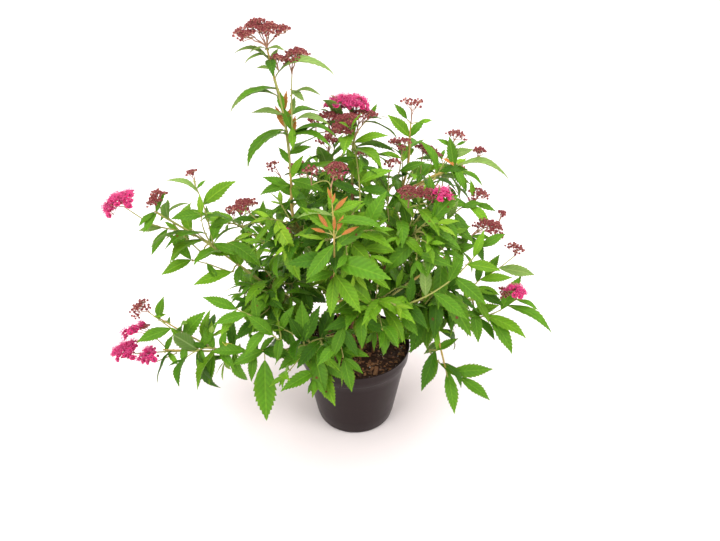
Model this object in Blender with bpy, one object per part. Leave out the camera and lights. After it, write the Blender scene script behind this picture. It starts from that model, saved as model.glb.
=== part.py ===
"""Spirea shrub in its nursery pot.

The pot stands on the floor with the middle of its underside at the origin, and Z is up.
The shrub has no single trunk. Thirteen stems rise from the compost, and each ends in a mass
of foliage: seven low masses in a ring, five upper ones above them, and one on top. Boughs run
on from those masses to the free shoots, which carry the flower heads.

Places are given as on a compass laid over the pot: a bearing in degrees (0 is to the right of
the front view, 90 is away from it, 180 left, 270 towards the viewer), a reach from the pot's
axis and a height above the floor. All of these tables are in millimetres and degrees.
"""
import math
from collections import namedtuple

import bmesh
import bpy
from mathutils import Matrix, Vector
from mathutils.bvhtree import BVHTree

MM = 0.001

# Pot
RIM_RADIUS = 65.0
POT_HEIGHT = 104.0
FOOT_RADIUS = 46.0
FOOT_CORNER = 5.0
LIP_HEIGHT = 15.0
LIP_STEP = 3.0
LIP_FLARE = 1.2
WALL = 1.4
FLOOR = 2.0
RIM_ROUND = 0.5
POT_SEGMENTS = 32
DRAIN_HOLES = 6
DRAIN_RADIUS = 4.5
DRAIN_CIRCLE = 30.0
DRAIN_SEGMENTS = 10

# Compost
COMPOST_BELOW_RIM = 7.0

# Clearances between solids that touch
TOUCH_GAP = 0.3
MASS_GAP = 0.5

# Stems and boughs
STEM_SIDES = 6
STEM_RINGS = 5
STEM_TAPER = 0.7
BOUGH_TAPER = 0.75
BOUGH_RINGS = 4
BOUGH_SAG = 0.06
SEAT_MARGIN = 1.1

# Masses
MASS_COLUMNS = 14
MASS_ROWS = 8
PAD_COLUMNS = 12
PAD_ROWS = 6
LUMP_HEIGHT = 0.13
LUMP_WAVES = 3

Mass = namedtuple("Mass", "name bearing reach height out across up rise")
Stem = namedtuple("Stem", "name mass bearing foot radius lift")
Bough = namedtuple("Bough", "name start end radius")

# The crown proper. Out, across and up are half sizes, and rise tilts the out axis.
CROWN = (
    Mass("foliage_low_left", 186, 88, 184, 55, 44, 42, 8),
    Mass("foliage_low_front_left", 236, 82, 150, 56, 48, 46, -28),
    Mass("foliage_low_front", 290, 74, 210, 50, 44, 38, 5),
    Mass("foliage_low_right", 345, 86, 182, 52, 44, 46, 0),
    Mass("foliage_low_back_right", 38, 88, 178, 60, 46, 48, -5),
    Mass("foliage_low_back", 90, 88, 168, 58, 46, 48, -10),
    Mass("foliage_low_back_left", 137, 84, 182, 52, 44, 46, -5),
    Mass("foliage_upper_left", 200, 66, 268, 52, 46, 44, 20),
    Mass("foliage_upper_front", 262, 62, 280, 46, 44, 46, 30),
    Mass("foliage_upper_right", 328, 72, 272, 54, 46, 46, 20),
    Mass("foliage_upper_back_right", 32, 66, 290, 54, 46, 50, 30),
    Mass("foliage_upper_back_left", 112, 62, 284, 52, 48, 48, 25),
    Mass("foliage_crown_top", 100, 18, 350, 42, 40, 44, 0),
)

# Free shoots outside it, kept thin where they overhang the foot of the pot.
SHOOTS = (
    Mass("shoot_tall_leaves", 181, 66, 374, 52, 26, 44, 80),
    Mass("shoot_tall_head", 180, 83, 464, 29, 26, 13, 0),
    Mass("shoot_top_right_head", 40, 79, 374, 20, 18, 14, 0),
    Mass("shoot_high_right", 15, 140, 328, 38, 26, 20, 0),
    Mass("shoot_right_heads", 355, 146, 278, 32, 32, 26, 0),
    Mass("shoot_low_right", 352, 186, 186, 46, 38, 46, -35),
    Mass("shoot_bottom_right", 336, 122, 74, 52, 30, 26, -12),
    Mass("shoot_left_arm", 182, 164, 250, 50, 26, 46, 35),
    Mass("shoot_left_flowers", 181, 226, 294, 42, 18, 12, 0),
    Mass("shoot_bottom_left_arm", 203, 160, 142, 54, 26, 22, 0),
    Mass("shoot_bottom_left_buds", 192, 232, 190, 20, 15, 11, 0),
    Mass("shoot_bottom_left_flowers", 195, 246, 147, 32, 22, 22, 0),
    Mass("shoot_hanging_left", 219, 112, 96, 20, 14, 38, 0),
    Mass("shoot_back_right", 52, 172, 258, 44, 32, 32, 10),
    Mass("shoot_back", 98, 176, 212, 46, 36, 32, -5),
    Mass("shoot_back_left", 141, 186, 196, 40, 34, 30, 0),
)

# Stems stand on the compost at a bearing and a distance from the pot's axis. Lift is how far
# a stem climbs straight up before it leans out, as a share of its height.
STEMS = (
    Stem("stem_left", "foliage_low_left", 180, 23, 1.8, 0.35),
    Stem("stem_front_left", "foliage_low_front_left", 232, 23, 1.7, 0.5),
    Stem("stem_front", "foliage_low_front", 285, 23, 1.7, 0.35),
    Stem("stem_right", "foliage_low_right", 338, 23, 1.9, 0.35),
    Stem("stem_back_right", "foliage_low_back_right", 33, 23, 1.7, 0.4),
    Stem("stem_back", "foliage_low_back", 85, 23, 1.6, 0.45),
    Stem("stem_back_left", "foliage_low_back_left", 132, 23, 1.8, 0.4),
    Stem("stem_upper_left", "foliage_upper_left", 206, 11, 2.3, 0.5),
    Stem("stem_upper_front", "foliage_upper_front", 262, 11, 2.0, 0.5),
    Stem("stem_upper_right", "foliage_upper_right", 318, 11, 2.2, 0.5),
    Stem("stem_upper_back_right", "foliage_upper_back_right", 25, 11, 2.2, 0.5),
    Stem("stem_upper_back_left", "foliage_upper_back_left", 110, 11, 2.1, 0.5),
    Stem("stem_centre", "foliage_crown_top", 160, 1, 2.4, 0.6),
)

BOUGHS = (
    Bough("bough_tall", "foliage_upper_left", "shoot_tall_leaves", 1.7),
    Bough("bough_tall_head", "shoot_tall_leaves", "shoot_tall_head", 1.3),
    Bough("bough_top_right", "foliage_upper_back_right", "shoot_top_right_head", 1.3),
    Bough("bough_high_right", "foliage_upper_back_right", "shoot_high_right", 1.4),
    Bough("bough_right_heads", "foliage_low_front", "shoot_right_heads", 1.5),
    Bough("bough_low_right", "foliage_low_right", "shoot_low_right", 1.5),
    Bough("bough_bottom_right", "foliage_low_right", "shoot_bottom_right", 1.4),
    Bough("bough_left_arm", "foliage_low_left", "shoot_left_arm", 1.6),
    Bough("bough_left_flowers", "shoot_left_arm", "shoot_left_flowers", 1.2),
    Bough("bough_bottom_left_arm", "foliage_low_front_left", "shoot_bottom_left_arm", 1.6),
    Bough("bough_bottom_left_buds", "shoot_bottom_left_arm", "shoot_bottom_left_buds", 1.1),
    Bough("bough_bottom_left_flowers", "shoot_bottom_left_arm", "shoot_bottom_left_flowers", 1.2),
    Bough("bough_back_right", "foliage_upper_back_right", "shoot_back_right", 1.4),
    Bough("bough_back", "foliage_low_back", "shoot_back", 1.4),
    Bough("bough_back_left", "foliage_low_back_left", "shoot_back_left", 1.4),
)

# Colours, as linear red, green and blue, with a roughness
FINISHES = {
    "pot_plastic": ((0.075, 0.062, 0.066), 0.42),
    "compost": ((0.050, 0.022, 0.013), 0.95),
    "stem_bark": ((0.300, 0.170, 0.075), 0.75),
    "young_stem": ((0.360, 0.330, 0.110), 0.60),
    "leaf_green": ((0.090, 0.260, 0.030), 0.50),
    "flower_pink": ((0.620, 0.030, 0.160), 0.60),
    "bud_maroon": ((0.240, 0.045, 0.055), 0.60),
}


def clear_objects():
    for item in list(bpy.data.objects):
        bpy.data.objects.remove(item, do_unlink=True)


def finish(name):
    material = bpy.data.materials.get(name)
    if material is None:
        colour, roughness = FINISHES[name]
        material = bpy.data.materials.new(name)
        material.use_nodes = True
        shader = material.node_tree.nodes["Principled BSDF"]
        shader.inputs["Base Color"].default_value = (*colour, 1.0)
        shader.inputs["Roughness"].default_value = roughness
    return material


def add_object(name, mesh_data, finish_name, smooth_angle=None, turn_out=True):
    """Turns a bmesh into a named object with outward faces and one finish."""
    if turn_out:
        bmesh.ops.recalc_face_normals(mesh_data, faces=mesh_data.faces)
    mesh = bpy.data.meshes.new(name)
    mesh_data.to_mesh(mesh)
    mesh_data.free()
    mesh.materials.append(finish(finish_name))
    if smooth_angle is not None:
        mesh.shade_smooth()
        mesh.set_sharp_from_angle(angle=math.radians(smooth_angle))
    item = bpy.data.objects.new(name, mesh)
    bpy.context.scene.collection.objects.link(item)
    return item


def compass(bearing, reach, height):
    """A point in metres from a bearing in degrees and a reach and height in millimetres."""
    angle = math.radians(bearing)
    return Vector((reach * math.cos(angle), reach * math.sin(angle), height)) * MM


def turned(profile, segments):
    """Turns a profile of (radius, height) pairs, which starts and ends on the axis, round Z."""
    data = bmesh.new()
    points = [data.verts.new((radius * MM, 0.0, height * MM)) for radius, height in profile]
    edges = [data.edges.new(pair) for pair in zip(points, points[1:])]
    bmesh.ops.spin(
        data,
        geom=points + edges,
        axis=(0.0, 0.0, 1.0),
        cent=(0.0, 0.0, 0.0),
        angle=math.tau,
        steps=segments,
        use_merge=True,
    )
    bmesh.ops.remove_doubles(data, verts=data.verts, dist=0.000001)
    return data


def wall_radius(height):
    """Outer radius of the pot's tapering wall, below its lip."""
    below_lip = RIM_RADIUS - LIP_FLARE - LIP_STEP
    share = height / (POT_HEIGHT - LIP_HEIGHT)
    return FOOT_RADIUS + (below_lip - FOOT_RADIUS) * share


def corner_arc(radius_at, height_at, corner, steps=3):
    """A quarter round between the flat underside and the wall."""
    for step in range(steps + 1):
        angle = math.radians(90.0 * step / steps)
        yield (
            radius_at - corner + corner * math.sin(angle),
            height_at + corner - corner * math.cos(angle),
        )


def pot_profile():
    lip_foot = POT_HEIGHT - LIP_HEIGHT
    corner_top = wall_radius(FOOT_CORNER)
    profile = [(0.0, 0.0)]
    profile += list(corner_arc(corner_top, 0.0, FOOT_CORNER))
    profile += [
        (wall_radius(lip_foot), lip_foot - LIP_STEP / 2),
        (RIM_RADIUS - LIP_FLARE, lip_foot),
        (RIM_RADIUS, POT_HEIGHT - RIM_ROUND),
        (RIM_RADIUS - RIM_ROUND, POT_HEIGHT),
        (RIM_RADIUS - WALL - RIM_ROUND, POT_HEIGHT),
        (RIM_RADIUS - LIP_FLARE - WALL - RIM_ROUND, lip_foot),
        (wall_radius(lip_foot) - WALL, lip_foot - LIP_STEP),
        (wall_radius(FOOT_CORNER) - WALL, FOOT_CORNER),
        (corner_top - FOOT_CORNER, FLOOR),
        (0.0, FLOOR),
    ]
    return profile


def inner_radius(height):
    """Inner radius of the pot at a height, up to its rim."""
    lip_foot = POT_HEIGHT - LIP_HEIGHT
    if height <= lip_foot - LIP_STEP:
        low = wall_radius(FOOT_CORNER) - WALL
        high = wall_radius(lip_foot) - WALL
        share = (height - FOOT_CORNER) / (lip_foot - LIP_STEP - FOOT_CORNER)
        return low + (high - low) * share
    low = RIM_RADIUS - LIP_FLARE - WALL - RIM_ROUND
    high = RIM_RADIUS - WALL - RIM_ROUND
    return low + (high - low) * (height - lip_foot) / LIP_HEIGHT


def make_drain_cutter(index):
    """One upright peg through the pot's floor, which only cuts."""
    data = bmesh.new()
    bmesh.ops.create_cone(
        data,
        cap_ends=True,
        segments=DRAIN_SEGMENTS,
        radius1=DRAIN_RADIUS * MM,
        radius2=DRAIN_RADIUS * MM,
        depth=4 * FLOOR * MM,
    )
    cutter = add_object(f"drain_cutter_{index}", data, "pot_plastic")
    cutter.location = compass(index * 360.0 / DRAIN_HOLES, DRAIN_CIRCLE, 0.0)
    cutter.hide_render = True
    cutter.display_type = "WIRE"
    return cutter


def make_pot():
    pot = add_object("pot", turned(pot_profile(), POT_SEGMENTS), "pot_plastic", 35)
    for index in range(DRAIN_HOLES):
        cut = pot.modifiers.new(f"drain_{index}", "BOOLEAN")
        cut.operation = "DIFFERENCE"
        cut.solver = "EXACT"
        cut.object = make_drain_cutter(index)
    return pot


def compost_top():
    return POT_HEIGHT - COMPOST_BELOW_RIM


def make_compost():
    """The compost fills the pot, a touching gap clear of its floor and wall."""
    lip_foot = POT_HEIGHT - LIP_HEIGHT
    bottom = FLOOR + TOUCH_GAP
    top = compost_top()
    profile = [
        (0.0, bottom),
        (wall_radius(FOOT_CORNER) - FOOT_CORNER - TOUCH_GAP, bottom),
        (inner_radius(FOOT_CORNER) - 2 * TOUCH_GAP, FOOT_CORNER + TOUCH_GAP),
        (inner_radius(lip_foot - LIP_STEP) - 2 * TOUCH_GAP, lip_foot - LIP_STEP),
        (inner_radius(lip_foot) - 2 * TOUCH_GAP, lip_foot + TOUCH_GAP),
        (inner_radius(top) - 2 * TOUCH_GAP, top),
        (0.0, top),
    ]
    return add_object("compost", turned(profile, POT_SEGMENTS), "compost", 35)


class MassForm:
    """One foliage mass: an uneven ellipsoid with flats where its neighbours are."""

    def __init__(self, spec, index, columns, rows):
        self.name = spec.name
        self.index = index
        self.columns = columns
        self.rows = rows
        self.centre = compass(spec.bearing, spec.reach, spec.height)
        self.half = Vector((spec.out, spec.across, spec.up)) * MM
        turn = Matrix.Rotation(math.radians(spec.bearing), 3, "Z")
        tilt = Matrix.Rotation(math.radians(-spec.rise), 3, "Y")
        self.frame = turn @ tilt
        self.planes = []
        self.skin = None

    def reach_along(self, direction):
        """Distance from the centre to the plain ellipsoid's skin."""
        local = self.frame.transposed() @ direction
        scaled = Vector(local[axis] / self.half[axis] for axis in range(3))
        return 1.0 / scaled.length

    def uneven_reach(self, direction):
        """The same with lumps, like the ends of shoots, worked out from the mass's index."""
        local = self.frame.transposed() @ direction
        phase = 1.7 * self.index
        lump = math.sin(LUMP_WAVES * 2.1 * local.x + phase)
        lump *= math.sin(LUMP_WAVES * 1.8 * local.y + 2.3 * phase)
        lump += 0.6 * math.sin(LUMP_WAVES * 2.9 * local.z + 0.7 * phase + 2.0 * local.x)
        return self.reach_along(direction) * (1.0 + LUMP_HEIGHT * lump)

    def keep_behind(self, point, outward):
        """Adds a flat: the mass stays on the side of the point that outward points away from."""
        self.planes.append((point.dot(outward), outward))

    def trimmed_reach(self, direction):
        reach = self.uneven_reach(direction)
        for offset, outward in self.planes:
            slope = direction.dot(outward)
            if slope > 0.0:
                reach = min(reach, (offset - self.centre.dot(outward)) / slope)
        return reach

    def build(self, finish_name):
        data = bmesh.new()
        bmesh.ops.create_uvsphere(
            data,
            u_segments=self.columns,
            v_segments=self.rows,
            radius=1.0,
        )
        for vertex in data.verts:
            direction = self.frame @ vertex.co.normalized()
            vertex.co = self.centre + direction * self.trimmed_reach(direction)
        self.skin = BVHTree.FromBMesh(data)
        return add_object(self.name, data, finish_name, turn_out=False)


def separate_masses(forms):
    """Puts a pair of facing flats between masses whose ellipsoids come near each other."""
    for place, first in enumerate(forms):
        for second in forms[place + 1:]:
            between = second.centre - first.centre
            distance = between.length
            outward = between.normalized()
            near = first.reach_along(outward)
            far = second.reach_along(-outward)
            share = near / (near + far)
            middle = first.centre + outward * distance * share
            first.keep_behind(middle - outward * MASS_GAP * MM / 2, outward)
            second.keep_behind(middle + outward * MASS_GAP * MM / 2, -outward)


class Limb:
    """One tapering limb on a curve through a control point, with a flat cut at each end."""

    def __init__(self, name, start, control, end, start_radius, taper, rings):
        self.name = name
        self.control = control
        self.start_radius = start_radius * MM
        self.end_radius = self.start_radius * taper
        self.rings = rings
        self.start_form = None
        self.end_form = None
        self.points = swept(start, control, end, rings)

    def radius_at(self, place):
        share = place / (self.rings - 1)
        return self.start_radius + (self.end_radius - self.start_radius) * share

    def clear(self, form):
        """Keeps a mass that this limb passes off the limb's skin."""
        for place, (start, end) in enumerate(zip(self.points, self.points[1:])):
            along = end - start
            share = (form.centre - start).dot(along) / along.length_squared
            nearest = start + along * min(1.0, max(0.0, share))
            inward = (nearest - form.centre).normalized()
            skin = self.radius_at(place) + MASS_GAP * MM
            form.keep_behind(nearest - inward * skin, inward)

    def seat_ends(self):
        """Brings each end that meets a mass up to the mass's skin, a touching gap clear."""
        start = self.points[0]
        if self.start_form is not None:
            start = self.seat(self.start_form, self.start_radius)
        end = self.seat(self.end_form, self.end_radius)
        self.points = swept(start, self.control, end, self.rings)

    def seat(self, form, radius):
        """The end of a limb that runs from its control point towards the middle of a mass."""
        towards = (form.centre - self.control).normalized()
        turn = towards.to_track_quat("Z", "Y").to_matrix()
        lengths = []
        for share in (0.0, SEAT_MARGIN):
            for offset in circle(radius * share):
                distance = form.skin.ray_cast(self.control + turn @ offset, towards)[3]
                if distance is not None:
                    lengths.append(distance)
        return self.control + towards * (min(lengths) - TOUCH_GAP * MM)

    def ring_turn(self, place):
        """Turns a ring square to the limb."""
        before = self.points[max(place - 1, 0)]
        after = self.points[min(place + 1, self.rings - 1)]
        return (after - before).to_track_quat("Z", "Y").to_matrix()

    def build(self, finish_name, level_foot):
        data = bmesh.new()
        rings = []
        for place, point in enumerate(self.points):
            turn = self.ring_turn(place)
            if place == 0 and level_foot:
                turn = Matrix.Identity(3)
            ring = [data.verts.new(point + turn @ spot) for spot in circle(self.radius_at(place))]
            rings.append(ring)
        for lower, upper in zip(rings, rings[1:]):
            shift = nearest_shift(lower[0], upper)
            upper[:] = upper[shift:] + upper[:shift]
            for side in range(STEM_SIDES):
                after = (side + 1) % STEM_SIDES
                data.faces.new((lower[side], lower[after], upper[after], upper[side]))
        data.faces.new(rings[0])
        data.faces.new(rings[-1])
        return add_object(self.name, data, finish_name, 60)


def circle(radius):
    """The corners of a limb's cross section, flat on X and Y."""
    corners = []
    for side in range(STEM_SIDES):
        angle = math.tau * side / STEM_SIDES
        corners.append(Vector((math.cos(angle), math.sin(angle), 0.0)) * radius)
    return corners


def nearest_shift(vertex, ring):
    """Which vertex of the next ring lies nearest, so that the limb's sides don't twist."""
    gaps = [(other.co - vertex.co).length for other in ring]
    return gaps.index(min(gaps))


def swept(start, control, end, count):
    """Points along a quadratic curve."""
    points = []
    for step in range(count):
        share = step / (count - 1)
        points.append(start.lerp(control, share).lerp(control.lerp(end, share), share))
    return points


def make_stem_limb(spec, forms):
    """A stem from its level cut on the compost to the mass that it carries."""
    form = forms[spec.mass]
    foot = compass(spec.bearing, spec.foot, compost_top() + TOUCH_GAP)
    control = foot.copy()
    control.z += (form.centre.z - foot.z) * spec.lift
    inward = (form.centre - control).normalized()
    entry = form.centre - inward * form.trimmed_reach(-inward)
    limb = Limb(spec.name, foot, control, entry, spec.radius, STEM_TAPER, STEM_RINGS)
    limb.end_form = form
    return limb


def make_bough_limb(spec, forms):
    """A bough from one mass to the mass that it carries, sagging a little."""
    parent = forms[spec.start]
    child = forms[spec.end]
    along = (child.centre - parent.centre).normalized()
    start = parent.centre + along * parent.trimmed_reach(along)
    end = child.centre - along * child.trimmed_reach(-along)
    control = (start + end) / 2
    control.z -= (end - start).length * BOUGH_SAG
    limb = Limb(spec.name, start, control, end, spec.radius, BOUGH_TAPER, BOUGH_RINGS)
    limb.start_form = parent
    limb.end_form = child
    return limb


def mass_finish(name):
    if "flowers" in name:
        return "flower_pink"
    if "head" in name or "buds" in name:
        return "bud_maroon"
    return "leaf_green"


def make_plant():
    forms = {}
    for index, spec in enumerate(CROWN):
        forms[spec.name] = MassForm(spec, index, MASS_COLUMNS, MASS_ROWS)
    for index, spec in enumerate(SHOOTS):
        forms[spec.name] = MassForm(spec, index + len(CROWN), PAD_COLUMNS, PAD_ROWS)
    separate_masses(list(forms.values()))

    stems = [make_stem_limb(spec, forms) for spec in STEMS]
    boughs = [make_bough_limb(spec, forms) for spec in BOUGHS]
    for limb in stems + boughs:
        for form in forms.values():
            if form not in (limb.start_form, limb.end_form):
                limb.clear(form)

    for form in forms.values():
        form.build(mass_finish(form.name))
    for limb in stems + boughs:
        limb.seat_ends()
    for limb in stems:
        limb.build("stem_bark", level_foot=True)
    for limb in boughs:
        limb.build("young_stem", level_foot=False)


def main():
    clear_objects()
    make_pot()
    make_compost()
    make_plant()


main()
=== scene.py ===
"""A flowering spirea shrub in its nursery pot.

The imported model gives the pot, the compost, the stems and the masses of foliage. This script
keeps their places and grows the real surface there: bark on the stems, twigs, serrated leaves,
flat heads of buds and blossom, a moulded pot and bark compost. Tables are in millimetres.
"""

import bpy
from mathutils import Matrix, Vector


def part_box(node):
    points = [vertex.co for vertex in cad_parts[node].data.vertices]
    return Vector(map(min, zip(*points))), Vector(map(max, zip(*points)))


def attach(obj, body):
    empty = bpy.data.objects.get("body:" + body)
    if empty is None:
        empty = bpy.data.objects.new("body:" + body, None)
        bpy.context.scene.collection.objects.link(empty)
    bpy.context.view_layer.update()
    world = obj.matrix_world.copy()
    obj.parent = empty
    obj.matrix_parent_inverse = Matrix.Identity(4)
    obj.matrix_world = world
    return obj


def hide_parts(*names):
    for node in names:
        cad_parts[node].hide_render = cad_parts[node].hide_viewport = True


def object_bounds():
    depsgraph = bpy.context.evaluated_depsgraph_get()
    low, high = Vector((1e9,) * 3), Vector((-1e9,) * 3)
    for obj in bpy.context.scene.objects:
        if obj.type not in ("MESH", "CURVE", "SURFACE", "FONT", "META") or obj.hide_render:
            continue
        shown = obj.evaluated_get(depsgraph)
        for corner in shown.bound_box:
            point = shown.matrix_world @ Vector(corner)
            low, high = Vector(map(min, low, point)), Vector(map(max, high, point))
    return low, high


bl_info = {
    "name": "Potted Spirea Shrub",
    "version": (1, 0, 0),
    "blender": (4, 5, 0),
    "location": "View3D > Sidebar > Spirea",
    "description": "Grows a flowering spirea shrub in its nursery pot",
    "category": "Add Mesh",
}

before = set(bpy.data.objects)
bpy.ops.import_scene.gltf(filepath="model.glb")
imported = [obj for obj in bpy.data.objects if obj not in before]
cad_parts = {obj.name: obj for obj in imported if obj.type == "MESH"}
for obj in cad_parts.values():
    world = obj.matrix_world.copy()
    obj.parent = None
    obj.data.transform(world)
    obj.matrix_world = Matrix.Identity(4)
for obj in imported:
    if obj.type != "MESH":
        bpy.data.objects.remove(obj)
CAD_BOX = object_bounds()

import functools
import math
from collections import namedtuple

import bpy
import numpy as np
from bpy.props import FloatProperty, FloatVectorProperty, IntProperty, PointerProperty
from mathutils import Vector
from mathutils.bvhtree import BVHTree

MM = 0.001
MAP_NAME = "OFBake"
BODY = "root"
UP = np.array((0.0, 0.0, 1.0))
RIGHT = np.array((1.0, 0.0, 0.0))
GOLDEN_TURN = math.radians(137.5)
# Points on a curve for each place it passes, then the edge left free on a limb's map and the pot's
CURVE_STEPS = 12
MAP_INSET = 0.02
POT_MAP_INSET = 0.01

# Camera, in metres, pixels and degrees
IMAGE_WIDTH = 720.0
FOCAL_PIXELS = 686.0
SENSOR_WIDTH = 36.0
EYE = (0.006, -0.65, 0.611)
EYE_PITCH = 31.9

# Light and surroundings: each light's name, place and size in metres, and power
LIGHTS = (
    ("key_softbox", (-0.9, -1.2, 1.7), 1.2, 26.0),
    ("fill_softbox", (1.3, -0.9, 1.3), 1.2, 16.0),
    ("top_softbox", (0.1, 0.3, 2.1), 1.6, 22.0),
)
LIGHT_TARGET = (0.0, 0.0, 0.2)
# The floor's bends from front to back, the cove behind it, the wall's top and half the width
FLOOR_DEPTHS = (-3.0, -1.0, 0.5, 1.6)
COVE_RADIUS = 0.9
WALL_TOP = 4.0
FLOOR_SIDE = 4.0
AIR_COLOUR = (1.0, 0.99, 0.99, 1.0)
# Painted shadow: near the pot the floor's colour darkens towards this, in place of the shade under the plant
PAINTED_SHADOW_BY_THE_POT = (0.83, 0.76, 0.75)

# Leaf shape, as shares of its length and half width
VEIN_PAIRS = 9
SMALL_VEIN_PAIRS = 5
BASE_SHARE = 0.03
TIP_SHARE = 0.90
VEIN_SLANT = 0.18
TOOTH_OUT = 0.09
TOOTH_FORWARD = 0.014
LAST_TOOTH = 0.985
NOTCH_IN = 0.07
BASE_POWER = 0.78
TIP_POWER = 1.30
QUILTING = 0.09
MARGIN_LIFT = 0.6
LEAF_COLUMNS = (-1.0, -0.5, 0.0, 0.5, 1.0)
# Waves along a leaf's margin: how many, how they differ between leaves, and their height
WAVES = 9.0
WAVE_SHIFT = 20.0
WAVE_HEIGHT = 0.15

# The leaf's map: how many looks lie side by side, half a leaf's width on its look, where a leaf
# starts along the map and how much of that it takes, then the share of leaves with a brown spot
LEAF_TILES = 4
TILE_INSET = 0.45
LEAF_MAP_START = 0.03
LEAF_MAP_SPAN = 0.94
SPOTTED_SHARE = 0.05
# A blade's thickness, the length under which a leaf has fewer veins, both in metres, the most
# leaves in one piece, and the angle in degrees over which their shading breaks
LEAF_BODY = 0.00028
SMALL_LEAF = 0.026
LEAVES_IN_PIECE = 640
LEAF_CREASE = 75

# How leaves vary: spans of bend in radians, size and, in the crown and clear of it, of width,
# fold and twist; new copper leaves are narrower
LEAF_BENDS = (0.55, 1.45)
LEAF_SIZES = (0.86, 1.1)
CROWN_SPANS = ((0.9, 1.12), (0.12, 0.42), (-0.35, 0.35))
CLEAR_SPANS = ((0.9, 1.2), (0.15, 0.35), (-0.2, 0.2))
COPPER_WIDTH = 0.75
# How leaves stand on a shoot: their lean in degrees and its spread, the spread of their turn
# round it, how far one may head down and how such a one is lifted, then how its face is set
LEAF_LEAN = (62.0, 9.0)
TURN_JITTER = 0.2
LOWEST_HEADING = -0.45
HEADING_LIFT = 0.7
FACE_UP = 0.8
FACE_OUT = 0.25
FACE_JITTER = 0.16
# The small leaves round a shoot's tip
TUFT_LEAVES = 3
TUFT_SIZE = 0.5
TUFT_LEANS = (16.0, 42.0)
TUFT_BREADTHS = (0.75, 0.95)
TUFT_SIZES = (0.7, 1.0)
TUFT_BEND = 0.4
# Limits, in metres: how far a leaf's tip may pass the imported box, the lowest it may hang, and the
# margin at the top and foot of the box within which the tints no longer change
BOX_SPARE = 0.008
LOWEST_TIP = 0.035
TINT_MARGIN = 0.1

# Growth, in metres unless a share: the sides of a packed limb, the gap at which a limb still
# carries a mass, the longest bough without leaves, how far a main shoot passes the middle of its
# mass, where sprays start on it and how near the skin they end, the shortest spray, the size of a
# mass that takes every spray, the gap at which a shoot needs a foot, the step along it, its
# radius at the tip in millimetres, the longest bare flower stalk, and the radius over which a
# twig has a bough's bark
LIMB_SIDES = 6
JOIN_GAP = 0.004
BARE_BOUGH = 0.02
AXIS_BEYOND = 0.35
SPRAY_STARTS = (0.15, 0.85)
SPRAY_DEPTH = 0.66
SHORTEST_SPRAY = 0.012
FULL_MASS = 0.085
SHOOT_GAP = 0.002
SHOOT_STEP = 0.005
SHOOT_TIP = 0.55
LEAFY_STALK = 0.04
THICK_TWIG = 0.0015
PLAN_SETTINGS = ("seed", "leaf_length", "leaf_width", "leaf_spacing", "twig_radius", "skin_sprays")

# Bark: a bough's radius as a share of its packed limb's, then where the swollen joints lie, their
# height as a share of the radius and their length
BOUGH_SCALE = 0.85
FIRST_JOINT = 0.006
JOINT_SPACING = 0.015
JOINT_SWELL = 0.20
JOINT_LENGTH = 0.0011

# Stalks, in metres: radii from foot to tip; a leaf's starts inside its twig, runs along a share
# of the leaf and keeps under it
BRANCH_RADII = np.linspace(0.00075, 0.00055, 5)
RAY_RADII = np.linspace(0.00050, 0.00034, 5)
BUD_STALK_RADII = (0.00030, 0.00026, 0.00030)
LEAF_STALK_RADII = (0.00062, 0.0005, 0.0002)
LEAF_STALK_FOOT = 0.0022
LEAF_STALK_SHARE = 0.16
LEAF_STALK_DROPS = (0.0002, 0.0003)
# Flower heads, lengths in metres: how far under a head its rays part and how near its stem's tip
# it stands without a stalk of its own, each as a share of its half width and a length; its dome,
# how deep the dome sits and how far its edge leans, as shares of the half width; the width of a
# cluster and its rays' length, how unevenly they and the buds stand, and the buds in a full
# cluster less one
NECK_DROP = (0.55, 0.009)
TIP_REACH = (0.9, 0.022)
DOME_HEIGHT = 0.48
DOME_SUNK = 0.15
DOME_LEAN = 0.55
CLUSTER = 0.0056
RAY_LENGTHS = (0.0052, 0.0070)
DOME_JITTER = 0.0014
SUNK_BUD = 0.0024
BUDS = 8
# Open flowers: how many in a cluster and the share that are open, then petals and stamens
OPEN_FLOWERS = 5
OPEN_SHARE = 0.84
PETALS = 5
PETAL_ROWS = ((0.0, 0.10, 0.0), (0.35, 0.44, 0.10), (0.72, 0.52, 0.16), (1.0, 0.26, 0.22))
PETAL_EDGE = (0, 3, 6, 9, 10, 11, 8, 5, 2, 1)
PETAL_CUP = 0.10
PETAL_BODY = 0.05
STAMENS = 12
STAMEN_LEANS = (12, 64)
STAMEN_REACHES = (0.50, 0.95)
STAMEN_RADII = (0.00012, 0.00011, 0.00010)
STAMEN_BOW = 0.0003
ANTHER_RADIUS = 0.00040

# Colours that belong to one look only
VEIN_GAINS = (2.325, 1.7825, 2.48)
SPOT_BROWN = (0.11, 0.035, 0.012)
UNDERSIDE = (0.24, 0.34, 0.11)
UNDERSIDE_VEIN = (0.40, 0.50, 0.20)
LEAF_GLOW = {"Subsurface Weight": 0.10, "Subsurface Radius": (0.5, 1.0, 0.2), "Subsurface Scale": 0.002}
BUD_TIP = (0.140, 0.020, 0.024)
PETAL_TIP = (0.600, 0.024, 0.145)
STAMEN_TIP = (0.78, 0.13, 0.34)
FLOWER_STALK_COLOURS = ((0.36, 0.23, 0.13), (0.33, 0.15, 0.10))
POT_DUST = (0.060, 0.048, 0.048)
CHIP_COLOURS = ((0.035, 0.014, 0.008), (0.42, 0.19, 0.075))
SPECK_COLOURS = ((0.55, 0.52, 0.48), (0.78, 0.76, 0.72))

# The pot's rim: how far out of round it is, and how much higher on one side in metres
RIM_OVAL = 0.008
RIM_LIFT = 0.0012
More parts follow.
